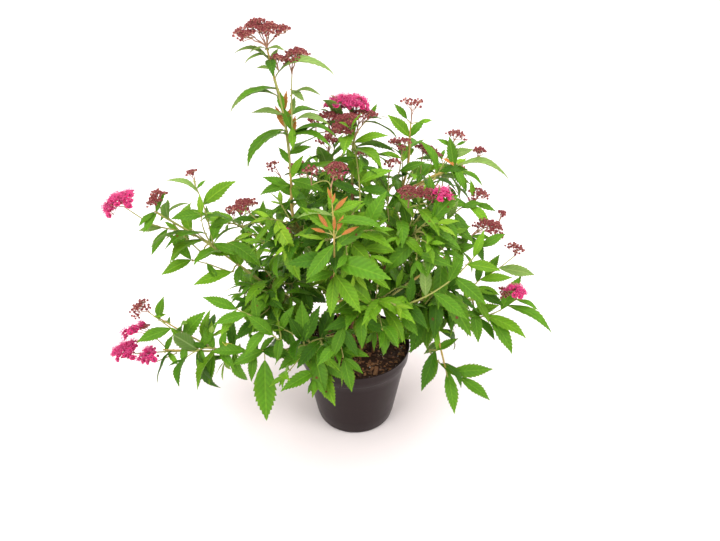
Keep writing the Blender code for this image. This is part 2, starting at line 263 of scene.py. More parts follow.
# Loose bark and grains on the compost: how many, how far out as a share of its radius, least and
# most length, width and depth in metres, and how many strips of the map they take
GRAIN_STRIPS = 8
CHIPS = (520, 0.97, ((0.002, 0.008), (0.0012, 0.0032), (0.0006, 0.0018)), GRAIN_STRIPS)
BIG_CHIPS = (26, 0.86, ((0.009, 0.019), (0.0028, 0.0052), (0.0016, 0.0032)), GRAIN_STRIPS)
SPECKS = (70, 0.96, ((0.0007, 0.0017), (0.0007, 0.0015), (0.0007, 0.0013)), 1)
# The compost's top: its waves, their spans of pitch, their height times their pitch, and how far
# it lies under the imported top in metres; then the faces of a chip
COMPOST_WAVES = 9
COMPOST_PITCHES = (60, 420)
COMPOST_SWELL = 0.045
COMPOST_SUNK = 0.0006
BLOCK_FACES = ((0, 1, 3, 2), (4, 6, 7, 5), (0, 4, 5, 1), (2, 3, 7, 6), (0, 2, 6, 4), (1, 5, 7, 3))

# Steps that build the model, in order
STEPS = ("pot", "compost", "stems", "leaves", "heads", "stage")

# Flower heads by the stem they grow from: place, half width, how closely the buds stand and the
# share of open flowers
Head = namedtuple("Head", "x y z spread fill bloom", defaults=(0.0,))
HEADS = (
    ("bough_tall_head", (-101, -4, 464, 12, 1.4), (-90, 4, 469, 12, 1.4), (-78, 0, 468, 12, 1.3),
     (-65, 4, 466, 11, 1.0)),
    ("tall_second", (-57, 8, 441, 17, 1.1)),
    ("bough_tall_head", (-72, -4, 443, 7, 0.7)),
    ("bloom_top", (-16, 30, 388, 14, 1.2, 1.0), (1, 30, 387, 14, 1.2, 1.0), (-14, 2, 371, 16, 1.3),
     (-40, 24, 373, 11, 0.9), (-26, 24, 376, 14, 1.1), (-8, 14, 377, 15, 1.3), (13, 26, 377, 14, 1.1)),
    ("bough_top_right", (61, 50, 382, 15, 0.55)),
    ("straw_right_fork", (49, 30, 345, 14, 0.9)),
    ("straw_right", (38, 8, 332, 11, 0.7)),
    ("high_buds", (109, 50, 346, 14, 0.7)),
    ("shoot_high_right", (134, 40, 332, 9, 1.4)),
    ("centre_right", (55, -40, 321, 15, 1.0), (71, -36, 319, 13, 1.0), (86, -40, 319, 12, 1.0, 1.0)),
    ("right_reds", (133, 10, 295, 15, 0.8)),
    ("bough_right_heads", (141, -20, 273, 18, 1.0), (157, 0, 279, 6, 0.8)),
    ("right_sparse", (177, 0, 234, 13, 0.8)),
    ("right_arm", (175, -38, 204, 12, 1.2, 1.0), (162, -31, 199, 9, 0.7)),
    ("front_orange", (-17, -50, 350, 15, 1.0), (-42, -40, 343, 10, 0.7)),
    ("upper_left_buds", (-87, 20, 323, 10, 0.6)),
    ("crown_left", (-112, -20, 298, 15, 1.2)),
    ("left_buds", (-206, 0, 297, 14, 1.1)),
    ("left_bloom", (-243, -10, 297, 20, 1.0, 1.0)),
    ("left_upright", (-175, 30, 313, 7, 0.5)),
    ("low_left_buds", (-228, -50, 192, 15, 0.9)),
    ("low_left_bloom", (-250, -60, 141, 17, 1.0, 1.0)),
    ("low_left_fork", (-240, -60, 167, 9, 1.0, 0.9), (-226, -56, 170, 7, 0.9, 0.6)),
    ("low_left_side", (-222, -70, 142, 14, 1.0, 0.85)),
    ("foliage_upper_back_left", (-30, 78, 330, 15, 1.0), (-66, 96, 292, 12, 0.9), (8, 104, 304, 14, 0.9)),
    ("foliage_upper_back_right", (78, 84, 318, 13, 0.9)),
    ("shoot_back_right", (96, 146, 288, 14, 0.9), (126, 150, 266, 12, 0.9)),
    ("shoot_back", (-24, 198, 240, 14, 1.0), (-4, 178, 248, 12, 1.0, 0.9)),
    ("shoot_back_left", (-152, 116, 224, 14, 0.9)),
    ("foliage_low_back_right", (96, 100, 220, 13, 1.0, 1.0)),
    ("foliage_low_back_left", (-82, 100, 204, 13, 1.0, 1.0)),
)

# Leafy sprays in the masses that need more or fewer than their size gives
SPRAYS = {
    "foliage_crown_top": 7, "foliage_upper_back_right": 3, "foliage_upper_right": 16,
    "foliage_upper_back_left": 13, "foliage_low_left": 24, "foliage_low_front_left": 8,
    "foliage_low_right": 21, "foliage_low_front": 15, "shoot_left_arm": 3, "shoot_bottom_left_arm": 3,
    "shoot_tall_leaves": 0, "shoot_high_right": 0, "shoot_hanging_left": 0, "shoot_bottom_right": 0,
    "shoot_low_right": 0,
}
# This mass stands for one hanging leaf, so it has no shoot of its own
SINGLE_LEAF = "shoot_hanging_left"

# Leaf tints that a whole spray takes, and how often sprays low and high in the crown and the
# leaves that show singly take them
TINTS = ("deep", "mid", "bright", "lime", "sage", "copper", "tired")
# Low sprays take the deep green more often and high ones the bright: partly older and younger leaves, partly
# painted shade low in the crown and painted light at its top
TINT_SHARES_LOW = (0.33, 0.44, 0.21, 0.02, 0.0, 0.0, 0.0)
TINT_SHARES_HIGH = (0.16, 0.46, 0.32, 0.06, 0.0, 0.0, 0.0)
TINT_SHARES_CLEAR = (0.16, 0.54, 0.20, 0.0, 0.10, 0.0, 0.0)

# Shoots that stand clear of the crown: name, the stem it leaves, its radius at the foot, and the
# places that it passes on the way to its tip
SHOOTS = (
    ("tall_second", "bough_tall_head_foot", 1.0, (-61, -4, 364), (-60, 0, 405), (-59, 6, 424)),
    ("bloom_top", "foliage_upper_front", 1.3, (6, -48, 293), (5, -24, 328), (0, 16, 354)),
    ("straw_right", "foliage_upper_right", 1.3, (39, -34, 257), (35, -14, 289), (36, 16, 311)),
    ("straw_right_fork", "straw_right", 1.0, (36, 4, 302), (47, 26, 310), (50, 30, 333)),
    ("high_buds", "foliage_upper_back_right", 1.0, (82, 30, 298), (96, 42, 315), (105, 48, 333)),
    ("centre_right", "foliage_upper_right", 1.1, (51, -30, 265), (65, -36, 292), (77, -40, 311)),
    ("right_reds", "foliage_upper_right", 0.9, (95, -16, 277), (112, -4, 286), (127, 4, 288)),
    ("right_sparse", "foliage_low_right", 0.9, (134, -14, 199), (158, -6, 212), (176, 0, 225)),
    ("right_arm", "foliage_low_right", 1.1, (129, -26, 160), (155, -28, 168), (177, -28, 186)),
    ("right_drooping", "bough_bottom_right", 0.9, (84, -34, 121), (105, -38, 96), (121, -40, 86)),
    ("right_front", "foliage_low_right", 1.0, (69, -40, 178), (80, -50, 203), (91, -48, 215)),
    ("front_orange", "foliage_low_front", 1.6, (-24, -71, 215), (-19, -90, 256), (-18, -100, 290),
     (-18, -98, 313), (-21, -66, 338)),
    ("right_long", "foliage_low_right", 1.3, (44, -72, 206), (74, -80, 227), (100, -72, 243),
     (121, -52, 254), (136, -30, 260)),
    ("front_skirt", "foliage_low_front", 1.0, (-16, -90, 190), (-13, -96, 173), (-11, -96, 160)),
    ("left_low", "foliage_low_left", 1.0, (-78, -74, 166), (-92, -70, 178), (-106, -68, 192),
     (-123, -62, 197)),
    ("front_low", "foliage_low_front_left", 1.0, (-53, -66, 167), (-43, -78, 156), (-35, -84, 131)),
    ("upper_left_buds", "foliage_upper_left", 0.9, (-59, 6, 287), (-78, 20, 310)),
    ("crown_left", "foliage_upper_left", 1.1, (-83, -12, 245), (-95, -16, 270), (-107, -20, 288)),
    ("left_side", "foliage_low_left", 0.9, (-92, -40, 184), (-106, -50, 177)),
    ("left_upright", "shoot_left_arm", 1.1, (-152, -6, 240), (-158, 0, 282), (-168, 8, 312)),
    ("left_leafy", "shoot_left_arm", 1.0, (-134, -14, 213), (-160, -10, 221), (-178, -8, 225)),
    ("left_buds", "shoot_left_arm", 1.0, (-166, -2, 230), (-184, 0, 250), (-205, 0, 285)),
    ("left_bloom", "left_buds", 0.9, (-190, 0, 257), (-215, -3, 266), (-238, -8, 288)),
    ("low_left_buds", "shoot_bottom_left_arm", 1.0, (-179, -60, 146), (-195, -56, 165), (-218, -52, 185)),
    ("low_left_bloom", "shoot_bottom_left_arm", 1.0, (-191, -60, 140), (-215, -63, 141), (-239, -62, 138)),
    ("low_left_fork", "low_left_bloom", 0.8, (-204, -60, 142), (-212, -60, 155), (-218, -60, 163)),
    ("low_left_side", "low_left_bloom", 0.8, (-195, -60, 137), (-216, -70, 133)),
)

# Leaves that show singly, by the stem that carries them: how far along it in hundredths, the way
# they point as seen from the front (0 right, 90 up), their length in millimetres, their bend from
# stalk to tip, both angles in degrees, then a tint of their own and the length of a side twig
LeafPlace = namedtuple("LeafPlace", "share heading length bend tint twig", defaults=(38, None, 0))
CLEAR_LEAVES = {
    "bough_tall": (
        (0, 160, 32, 30), (10, 300, 36), (20, 200, 34, 50), (50, 340, 38, 45), (60, 60, 28), (90, 20, 32),
    ),
    "bough_tall_head_foot": (
        (10, 125, 20), (20, 15, 26), (45, 226, 54, 105, "mid"), (62, 178, 32, 55, "sage"), (66, 100, 21),
        (80, 200, 50, 115, "sage"), (100, 1, 58, 118, "sage"), (30, 76, 17, 12, "copper"),
        (45, 114, 24, 12, "copper", 3), (50, 100, 18, 12, "copper"), (62, 82, 22, 12, "copper", 2),
        (55, 62, 16, 12, "copper", 2),
    ),
    "bough_tall_head": (
        (35, 180, 15, 35, "sage"), (55, 168, 35, 110, "sage"), (60, 54, 14, 20, "sage"),
        (75, 200, 24, 80, "sage"), (100, 200, 18, 80, "sage"), (100, 350, 18, 60, "sage"),
    ),
    "tall_second": (
        (2, 344, 48, 90, "mid"), (5, 28, 25, 45), (16, 352, 46, 100, "mid"), (30, 354, 40, 95, "sage"),
        (45, 80, 17), (72, 354, 30, 85, "sage"), (78, 317, 19, 30, "sage"), (12, 80, 21, 12, "copper"),
        (24, 104, 18, 12, "copper"), (20, 112, 26, 20, "mid"), (26, 272, 24, 30),
    ),
    "bough_top_right": (
        (0, 48, 24), (0, 138, 34, 28), (100, 134, 22, 20, None, 6), (100, 8, 15, 20, None, 8),
    ),
    "bloom_top": (
        (97, 8, 37, 42), (80, 205, 34, 60), (70, 330, 34, 80), (45, 160, 34, 40), (55, 20, 36, 50),
        (50, 345, 36, 50), (40, 320, 36, 60),
    ),
    "straw_right": (
        (25, 20, 38, 30), (30, 200, 36), (45, 145, 40, 40), (35, 325, 36, 50), (15, 30, 36, 50),
        (20, 340, 36, 50), (60, 35, 36), (75, 170, 30, 50), (95, 150, 22, 40),
    ),
    "straw_right_fork": ((60, 20, 30, 30), (90, 165, 18, 30)),
    "high_buds": (
        (35, 120, 42, 75), (42, 2, 32, 45), (75, 17, 30, 30), (100, 156, 20), (100, 22, 12, 20, None, 5),
    ),
    "bough_high_right": (
        (30, 300, 30), (60, 100, 34, 20), (85, 344, 60, 100, "sage"), (90, 150, 18, 50, "copper"),
        (95, 296, 16, 12, "copper"), (70, 290, 28, 60),
    ),
    "bough_left_arm": (
        (15, 80, 30, 38, "bright"), (30, 262, 24, 38, "mid"), (55, 285, 22, 38, "mid"),
        (70, 62, 28, 38, "bright"), (90, 120, 26, 38, "bright"),
    ),
    "bough_left_flowers": ((30, 240, 26), (50, 60, 24), (75, 225, 24)),
    "centre_right": ((30, 106, 38), (20, 225, 36, 30), (50, 330, 34, 30), (85, 150, 20)),
    "right_reds": (
        (20, 250, 34, 50), (30, 300, 36, 50), (50, 322, 38, 55), (70, 285, 36, 60), (90, 312, 34, 60),
        (45, 97, 22), (55, 62, 24), (80, 14, 22), (90, 178, 34), (100, 338, 24, 28),
        (100, 103, 20, 15, None, 6),
    ),
    "bough_right_heads": (
        (50, 264, 53, 14), (60, 20, 32), (75, 120, 34), (85, 245, 30), (100, 294, 30), (100, 353, 21),
        (95, 219, 24), (90, 185, 24),
    ),
    "right_sparse": (
        (5, 300, 34, 50), (15, 330, 34, 40), (20, 343, 28), (30, 85, 27), (35, 5, 36), (45, 60, 30),
        (70, 349, 40, 32),
    ),
    "right_arm": (
        (15, 276, 38), (25, 20, 34), (40, 307, 32, 60), (50, 332, 52, 62), (55, 301, 50, 60),
        (75, 60, 44, 45), (85, 328, 56, 72, "mid"), (100, 334, 27, 60),
    ),
    "right_drooping": (
        (10, 248, 50, 22, "deep"), (10, 30, 30, 30), (50, 235, 36, 30), (55, 322, 26, 48),
        (75, 278, 50, 25), (80, 6, 50, 10), (100, 323, 44),
    ),
    "right_front": (
        (20, 33, 34), (40, 228, 28), (55, 79, 36), (60, 253, 56, 18, "deep"), (75, 307, 24),
        (90, 266, 50, 50, "deep"), (100, 301, 60),
    ),
    "front_orange": (
        (49, 265, 40, 22, "bright"), (51, 304, 46, 30, "bright"), (52, 200, 30), (60, 343, 58, 30),
        (62, 186, 46, 24), (69, 36, 42, 18), (71, 232, 42, 20), (78, 144, 36, 18, "bright"),
        (81, 352, 48, 75, "mid"), (85, 184, 34, 70, "sage"), (87, 20, 30, 24),
        (75, 124, 18, 14, "copper", 10), (76, 164, 14, 20, "copper", 8), (74, 68, 16, 14, "copper", 8),
        (75, 88, 14, 12, "copper", 6), (74, 26, 19, 30, "copper", 8), (87, 46, 19, 14, "copper", 2),
        (93, 108, 13, 12, "copper", 1), (91, 76, 11, 12, "copper", 1),
    ),
    "right_long": (
        (30, 168, 34, 16, "bright"), (32, 305, 36, 20), (42, 85, 32), (52, 96, 36), (56, 322, 44),
        (66, 62, 32), (70, 318, 42, 24), (80, 350, 34), (86, 70, 30), (95, 30, 28),
    ),
    "front_skirt": (
        (30, 202, 38, 30, "deep"), (35, 338, 40, 30, "deep"), (50, 250, 36), (55, 300, 34, 30, "deep"),
        (75, 226, 34), (85, 345, 30), (100, 284, 36), (100, 322, 26),
    ),
    "left_low": (
        (20, 290, 34, 30, "deep"), (35, 200, 38), (45, 60, 34), (50, 262, 28), (62, 140, 36), (70, 232, 38),
        (80, 96, 30), (90, 196, 36), (100, 158, 38), (100, 240, 32),
    ),
    "upper_left_buds": ((30, 200, 30), (40, 60, 32), (60, 150, 26, 40), (75, 10, 26)),
    "front_low": (
        (5, 118, 36, 30, "deep"), (5, 66, 46, 30, "deep"), (5, 92, 46, 26, "mid"), (15, 88, 34, 30, "mid"),
        (55, 284, 50, 15), (60, 20, 34), (85, 258, 36, 12, "bright"), (95, 293, 42, 14),
    ),
    "crown_left": ((50, 143, 28), (75, 89, 28), (80, 40, 26), (87, 178, 24)),
    "left_side": ((60, 298, 48, 18, "deep"), (90, 225, 38, 18, "deep"), (100, 250, 22)),
    "left_upright": (
        (5, 338, 37), (10, 67, 32), (30, 18, 26), (36, 95, 20), (50, 189, 37), (64, 33, 46),
        (80, 158, 36, 84, "sage"), (88, 41, 14),
    ),
    "left_leafy": (
        (20, 199, 44, 38, "bright"), (70, 306, 24), (95, 19, 24), (100, 208, 36, 38, "bright"),
        (100, 129, 38, 38, "mid"),
    ),
    "left_buds": (
        (14, 352, 34, 38, "bright"), (50, 242, 30, 38, "mid"), (86, 26, 28, 88, "sage"), (90, 240, 10),
    ),
    "left_bloom": ((18, 241, 34), (27, 188, 26), (55, 41, 10)),
    "bough_bottom_left_arm": (
        (0, 205, 38), (0, 272, 66, 15, "mid", 10), (30, 350, 38), (40, 43, 24, 45), (70, 112, 22),
        (95, 264, 34),
    ),
    "shoot_bottom_left_arm": (
        (15, 182, 38), (30, 150, 20, 15, "tired"), (62, 73, 26), (66, 311, 28), (75, 112, 30),
        (78, 265, 40), (85, 160, 22), (100, 275, 30), (100, 55, 34),
    ),
    "low_left_buds": (
        (18, 262, 24), (18, 133, 25), (27, 49, 44, 40), (55, 201, 38, 35), (82, 73, 28), (90, 11, 14),
    ),
    "low_left_bloom": ((35, 311, 20, 40), (40, 63, 22, 35)),
}

Leaf = namedtuple("Leaf", "place direction face length width bend fold twist tile tint")


def length_property(name, description, default):
    return FloatProperty(
        name=name, description=description, default=default, subtype="DISTANCE", unit="LENGTH"
    )


class PlantSettings(bpy.types.PropertyGroup):
    seed: IntProperty(
        name="Seed", description="Changes how the twigs and leaves are dealt out", default=11, min=0
    )
    leaf_length: length_property("Leaf length", "Length of a full grown leaf", 0.050)
    leaf_width: FloatProperty(
        name="Leaf width",
        description="Width of a full grown leaf as a share of its length",
        default=0.31,
        subtype="FACTOR",
        min=0.1,
        max=1.0,
    )
    leaf_spacing: length_property("Leaf spacing", "Distance between leaves along a shoot", 0.0125)
    bud_size: length_property("Bud size", "Diameter of a closed flower bud", 0.0030)
    flower_size: length_property("Flower size", "Diameter of an open flower across its petals", 0.0070)
    twig_radius: length_property("Twig radius", "Radius of a twig where it leaves its bough", 0.00105)
    skin_sprays: IntProperty(
        name="Sprays in a mass", description="Leafy sprays that fill one mass", default=15, min=1
    )


def colour_property(name, description, default):
    return FloatVectorProperty(
        name=name, description=description, default=default, subtype="COLOR", size=3, min=0.0, max=1.0
    )


class ColourSettings(bpy.types.PropertyGroup):
    # Deep and bright are partly the leaves' own age and partly painted shade and painted light: deep goes to
    # leaves low and under the crown, bright to leaves high in it
    deep: colour_property("Deep green", "Shaded, oldest leaves", (0.034, 0.100, 0.004))
    mid: colour_property("Mid green", "Most of the leaves", (0.068, 0.174, 0.008))
    bright: colour_property("Bright green", "Leaves high in the crown", (0.106, 0.236, 0.010))
    lime: colour_property("Lime green", "The youngest full leaves", (0.165, 0.305, 0.016))
    sage: colour_property("Sage", "Thin leaves held up to the light", (0.142, 0.226, 0.050))
    copper: colour_property("Copper", "New leaves at a shoot's tip", (0.370, 0.145, 0.036))
    tired: colour_property("Yellowed", "A few old leaves", (0.420, 0.400, 0.060))
    bark: colour_property("Bark", "Woody stems", (0.240, 0.120, 0.055))
    bough: colour_property("Tan bough", "Boughs of this year and last", (0.470, 0.350, 0.095))
    straw: colour_property("Straw green", "Young stems and twigs", (0.370, 0.375, 0.105))
    bud: colour_property("Bud", "Closed buds", (0.620, 0.268, 0.210))
    petal: colour_property("Petal", "Open flowers", (0.560, 0.024, 0.124))
    pot: colour_property("Pot", "Moulded pot", (0.0135, 0.0065, 0.0065))
    compost: colour_property("Compost", "Moist compost", (0.032, 0.013, 0.007))


def unit(vectors):
    lengths = np.linalg.norm(vectors, axis=-1, keepdims=True)
    return vectors / np.maximum(lengths, 1e-12)


def across_of(directions, wanted):
    """The part of wanted that is square to directions, as unit vectors."""
    along = np.sum(directions * wanted, axis=-1, keepdims=True)
    return unit(wanted - directions * along)


def distances(points):
    """How far along a path each of its points is."""
    return np.concatenate(((0.0,), np.cumsum(np.linalg.norm(np.diff(points, axis=0), axis=1))))


def around(side, other, angle):
    return side * math.cos(angle) + other * math.sin(angle)


def sideways_of(direction, limit=0.15):
    """A level direction square to another, or one square to the right if that is upright."""
    side = np.cross(direction, UP)
    if np.linalg.norm(side) < limit:
        side = np.cross(direction, RIGHT)
    return unit(side)


def curve_through(points, count):
    """An even run of points on a smooth curve through the given ones."""
    points = np.asarray(points, float)
    padded = np.vstack((2 * points[0] - points[1], points, 2 * points[-1] - points[-2]))
    dense = []
    for place in range(len(points) - 1):
        before, start, end, after = padded[place:place + 4]
        for share in np.linspace(0.0, 1.0, CURVE_STEPS, endpoint=place == len(points) - 2):
            square = (2 * before - 5 * start + 4 * end - after) * share**2
            cube = (3 * start - before - 3 * end + after) * share**3
            dense.append(0.5 * (2 * start + (end - before) * share + square + cube))
    dense = np.array(dense)
    travelled = distances(dense)
    wanted = np.linspace(0.0, travelled[-1], count)
    return np.stack([np.interp(wanted, travelled, dense[:, axis]) for axis in range(3)], axis=1)


def bend_curve(start, control, end, count):
    share = np.linspace(0.0, 1.0, count)[:, None]
    return (1 - share) ** 2 * start + 2 * share * (1 - share) * control + share**2 * end


def path_length(points):
    return float(np.sum(np.linalg.norm(np.diff(points, axis=0), axis=1)))


def point_at(points, share):
    """A place and direction at a share of a path's length."""
    travelled = distances(points)
    wanted = share * travelled[-1]
    place = int(np.clip(np.searchsorted(travelled, wanted) - 1, 0, len(points) - 2))
    step = points[place + 1] - points[place]
    part = (wanted - travelled[place]) / max(np.linalg.norm(step), 1e-9)
    return points[place] + step * part, unit(step)


def path_frames(points):
    """Two square directions at each point, carried along the path without twisting."""
    tangents = unit(np.gradient(points, axis=0))
    sides = [sideways_of(tangents[0], 0.1)]
    for tangent in tangents[1:]:
        sides.append(across_of(tangent, sides[-1]))
    sides = np.array(sides)
    return sides, np.cross(tangents, sides)


class Heap:
    """Gathers many small shapes of one kind into one mesh with one map."""

    def __init__(self):
        self.places = []
        self.faces = {}
        self.total = 0

    def add(self, places, *groups):
        """Places is copies x vertices x 3. Each group is (faces, map places per corner)."""
        places = np.asarray(places, float)
        if places.ndim == 2:
            places = places[None]
        copies, count = places.shape[:2]
        starts = self.total + np.arange(copies) * count
        for faces, maps in groups:
            faces = np.asarray(faces, int)
            sides = faces.shape[1]
            maps = np.asarray(maps, float)
            if maps.ndim == 3:
                maps = np.broadcast_to(maps[None], (copies, *maps.shape))
            corners = faces[None] + starts[:, None, None]
            corner_list, map_list = self.faces.setdefault(sides, ([], []))
            corner_list.append(corners.reshape(-1, sides))
            map_list.append(maps.reshape(-1, sides, 2))
        self.places.append(places.reshape(-1, 3))
        self.total += copies * count

    def build(self, name, material, sharp_degrees=None):
        mesh = bpy.data.meshes.new(name)
        places = np.concatenate(self.places)
        corners, maps, counts = [], [], []
        for sides, (corner_list, map_list) in sorted(self.faces.items()):
            group = np.concatenate(corner_list)
            corners.append(group.ravel())
            maps.append(np.concatenate(map_list).reshape(-1, 2))
            counts.append(np.full(len(group), sides))
        corners, maps, counts = (np.concatenate(part) for part in (corners, maps, counts))
        starts = np.concatenate(((0,), np.cumsum(counts)[:-1]))
        mesh.vertices.add(len(places))
        mesh.vertices.foreach_set("co", places.astype(np.float32).ravel())
        mesh.loops.add(len(corners))
        mesh.loops.foreach_set("vertex_index", corners.astype(np.int32))
        mesh.polygons.add(len(counts))
        mesh.polygons.foreach_set("loop_start", starts.astype(np.int32))
        mesh.update(calc_edges=True)
        layer = mesh.uv_layers.new(name=MAP_NAME)
        layer.data.foreach_set("uv", maps.astype(np.float32).ravel())
        mesh.shade_smooth()
        if sharp_degrees is not None:
            mesh.set_sharp_from_angle(angle=math.radians(sharp_degrees))
        mesh.materials.append(material)
        piece = bpy.data.objects.new(name, mesh)
        bpy.context.scene.collection.objects.link(piece)
        return piece


def ring_quads(heights, sides, first=0):
    """Quads between rings of vertices, the first at first, with map places up to each height."""
    quads, maps = [], []
    for ring in range(len(heights) - 1):
        low, high = first + ring * sides, first + (ring + 1) * sides
        down, up = heights[ring], heights[ring + 1]
        for side in range(sides):
            after = (side + 1) % sides
            left, right = side / sides, (side + 1) / sides
            quads.append((low + side, low + after, high + after, high + side))
            maps.append(((left, down), (right, down), (right, up), (left, up)))
    return quads, maps


def tube(points, radii, sides, tile=0.012):
    """A round limb as (places, quads with maps, cap triangles with maps)."""
    points = np.asarray(points, float)
    across, other = path_frames(points)
    angles = math.tau * np.arange(sides) / sides
    spokes = np.cos(angles)[None, :, None] * across[:, None]
    spokes = spokes + np.sin(angles)[None, :, None] * other[:, None]
    radii = np.asarray(radii, float)
    if radii.ndim == 1:
        radii = np.repeat(radii[:, None], sides, axis=1)
    places = points[:, None] + spokes * radii[:, :, None]
    places = np.vstack((places.reshape(-1, 3), points[:1], points[-1:]))
    along = np.abs((distances(points) / tile) % 2.0 - 1.0) * (1 - 2 * MAP_INSET) + MAP_INSET
    caps, cap_maps = [], []
    top, foot_middle, tip_middle = len(places) - 2 - sides, len(places) - 2, len(places) - 1
    for side in range(sides):
        after = (side + 1) % sides
        caps += [(foot_middle, after, side), (tip_middle, top + side, top + after)]
        cap_maps += [((0.5, along[0]),) * 3, ((0.5, along[-1]),) * 3]
    return places, ring_quads(along, sides), (caps, cap_maps)


def leaf_width_at(share):
    """Half width of a leaf along its length, 1 where it is widest."""
    peak = BASE_POWER / (BASE_POWER + TIP_POWER)
    widest = peak**BASE_POWER * (1 - peak) ** TIP_POWER
    share = np.clip(share, 0.0, 1.0)
    return share**BASE_POWER * (1 - share) ** TIP_POWER / widest


@functools.lru_cache(maxsize=None)
def leaf_form(pairs):
    """A flat leaf as vertex arrays along, across, relief and sheet, with its faces.

    Rows follow the side veins, so that every second row ends in a tooth and lies lower than
    the rows between. The upper sheet and the under sheet share the leaf's margin.
    """
    rows = 2 * pairs
    points = [(0.0, 0.0, 0.0, 0.0)]
    grid = []
    for row in range(rows):
        base = BASE_SHARE + (TIP_SHARE - BASE_SHARE) * row / (rows - 1)
        on_vein = row % 2 == 1
        width = leaf_width_at(base + VEIN_SLANT / 2 * leaf_width_at(base))
        grid.append(range(len(points), len(points) + len(LEAF_COLUMNS)))
        for column in LEAF_COLUMNS:
            margin = abs(column) == 1.0
            reach, forward = column * width, 0.0
            if margin:
                reach *= 1 + TOOTH_OUT if on_vein else 1 - NOTCH_IN
                forward = TOOTH_FORWARD if on_vein else 0.0
            lift = QUILTING if not on_vein and column != 0.0 else 0.0
            lift *= MARGIN_LIFT if margin else 1.0
            along = min(base + VEIN_SLANT * abs(reach) + forward, LAST_TOOTH)
            points.append((along, reach, lift, 0.0 if margin else 1.0))
    tip = len(points)
    points.append((1.0, 0.0, 0.0, 0.0))
    lower = {}
    for vertex, (along, across, relief, sheet) in enumerate(list(points)):
        lower[vertex] = len(points) if sheet else vertex
        if sheet:
            points.append((along, across, relief, -1.0))
    quads, triangles = [], []
    for line, following in zip(grid, grid[1:]):
        for place in range(len(line) - 1):
            quads.append((line[place], line[place + 1], following[place + 1], following[place]))
    for place in range(len(grid[0]) - 1):
        triangles.append((0, grid[0][place + 1], grid[0][place]))
        triangles.append((grid[-1][place], grid[-1][place + 1], tip))
    groups = []
    for faces in (quads, triangles):
        turned = [tuple(lower[vertex] for vertex in (face[0], *face[:0:-1])) for face in faces]
        groups.append((np.array(faces + turned), np.repeat((1.0, 0.0), len(faces))))
    return list(np.array(points).T), groups


def leaf_maps(form, tiles):
    """Map places of each leaf's corners: a tile across for its variant, a half for its sheet."""
    (along, across, _, _), groups = form
    left = (across * TILE_INSET / (1 + TOOTH_OUT) + 0.5)[None] / LEAF_TILES + tiles[:, None] / LEAF_TILES
    result = []
    for faces, sheet in groups:
        up = ((along[faces] * LEAF_MAP_SPAN + LEAF_MAP_START + sheet[:, None]) * 0.5)[None]
        up = np.broadcast_to(up, (len(tiles), *faces.shape))
        result.append((faces, np.stack((left[:, faces], up), axis=-1)))
    return result


class Growth:
    """The plan of the plant: its paths, leaves and flower heads, before any mesh is made."""

    def __init__(self, settings):
        self.settings = settings
        self.random = np.random.default_rng(settings["seed"])
        self.limbs, self.stems = {}, {}
        self.twigs, self.leaves, self.heads = [], [], []
        self.skins, self.centres, self.corners = {}, {}, {}
        for name in nodes_named("foliage_", "shoot_"):
            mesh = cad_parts[name].data
            corners = np.array([vertex.co for vertex in mesh.vertices])
            faces = [tuple(face.vertices) for face in mesh.polygons]
            self.corners[name] = corners
            self.centres[name] = (corners.min(axis=0) + corners.max(axis=0)) / 2
            self.skins[name] = BVHTree.FromPolygons([tuple(corner) for corner in corners], faces)
        for name in nodes_named("stem_", "bough_"):
            self.limbs[name] = limb_line(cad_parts[name])
            self.stems[name] = [curve_through(self.limbs[name][0], 40)]

    def gap_to(self, name, place):
        return self.skins[name].find_nearest(Vector(place))[3]

    def nearest_mass(self, place):
        return min(self.skins, key=lambda name: self.gap_to(name, place))


def limb_line(limb):
    """The middle line and radii of a packed limb, from its thick end to its thin end."""
    corners = np.unique(np.round([tuple(vertex.co) for vertex in limb.data.vertices], 5), axis=0)
    middle = corners.mean(axis=0)
    axis = np.linalg.svd(corners - middle)[2][0]
    order = np.argsort((corners - middle) @ axis)
    points, radii = [], []
    for ring in range(len(corners) // LIMB_SIDES):
        part = corners[order[ring * LIMB_SIDES:(ring + 1) * LIMB_SIDES]]
        points.append(part.mean(axis=0))
        radii.append(np.linalg.norm(part - part.mean(axis=0), axis=1).mean())
    points, radii = np.array(points), np.array(radii)
    if radii[0] < radii[-1]:
        points, radii = points[::-1], radii[::-1]
    return points, radii


def deal_tint(growth, height):
    """A tint for a whole spray, darker low in the crown and brighter high up: partly the leaves' own age,
    partly painted shade low down and painted light high up.
    """
    low, high = CAD_BOX[0][2] + TINT_MARGIN, CAD_BOX[1][2] - TINT_MARGIN
    share = float(np.clip((height - low) / (high - low), 0.0, 1.0))
    odds = np.array(TINT_SHARES_LOW) * (1 - share) + np.array(TINT_SHARES_HIGH) * share
    return TINTS[int(growth.random.choice(len(TINTS), p=odds / odds.sum()))]


def deal_tile(random):
    """One of the leaf's looks; the last has a brown spot and is rare."""
    if random.random() < SPOTTED_SHARE:
        return LEAF_TILES - 1
    return int(random.integers(LEAF_TILES - 1))


def keep_leaf(growth, place, direction, face, length, breadth, bend, spans, tint):
    """Adds a leaf; its width, fold and twist are drawn from three spans, and a missing tint too."""
    random = growth.random
    width = growth.settings["leaf_width"] * breadth / 2 * random.uniform(*spans[0])
    fold = random.uniform(*spans[1])
    twist = random.uniform(*spans[2])
    tile = deal_tile(random)
    tint = tint or TINTS[int(random.choice(len(TINTS), p=TINT_SHARES_CLEAR))]
    growth.leaves.append(Leaf(place, direction, face, length, width, bend, fold, twist, tile, tint))


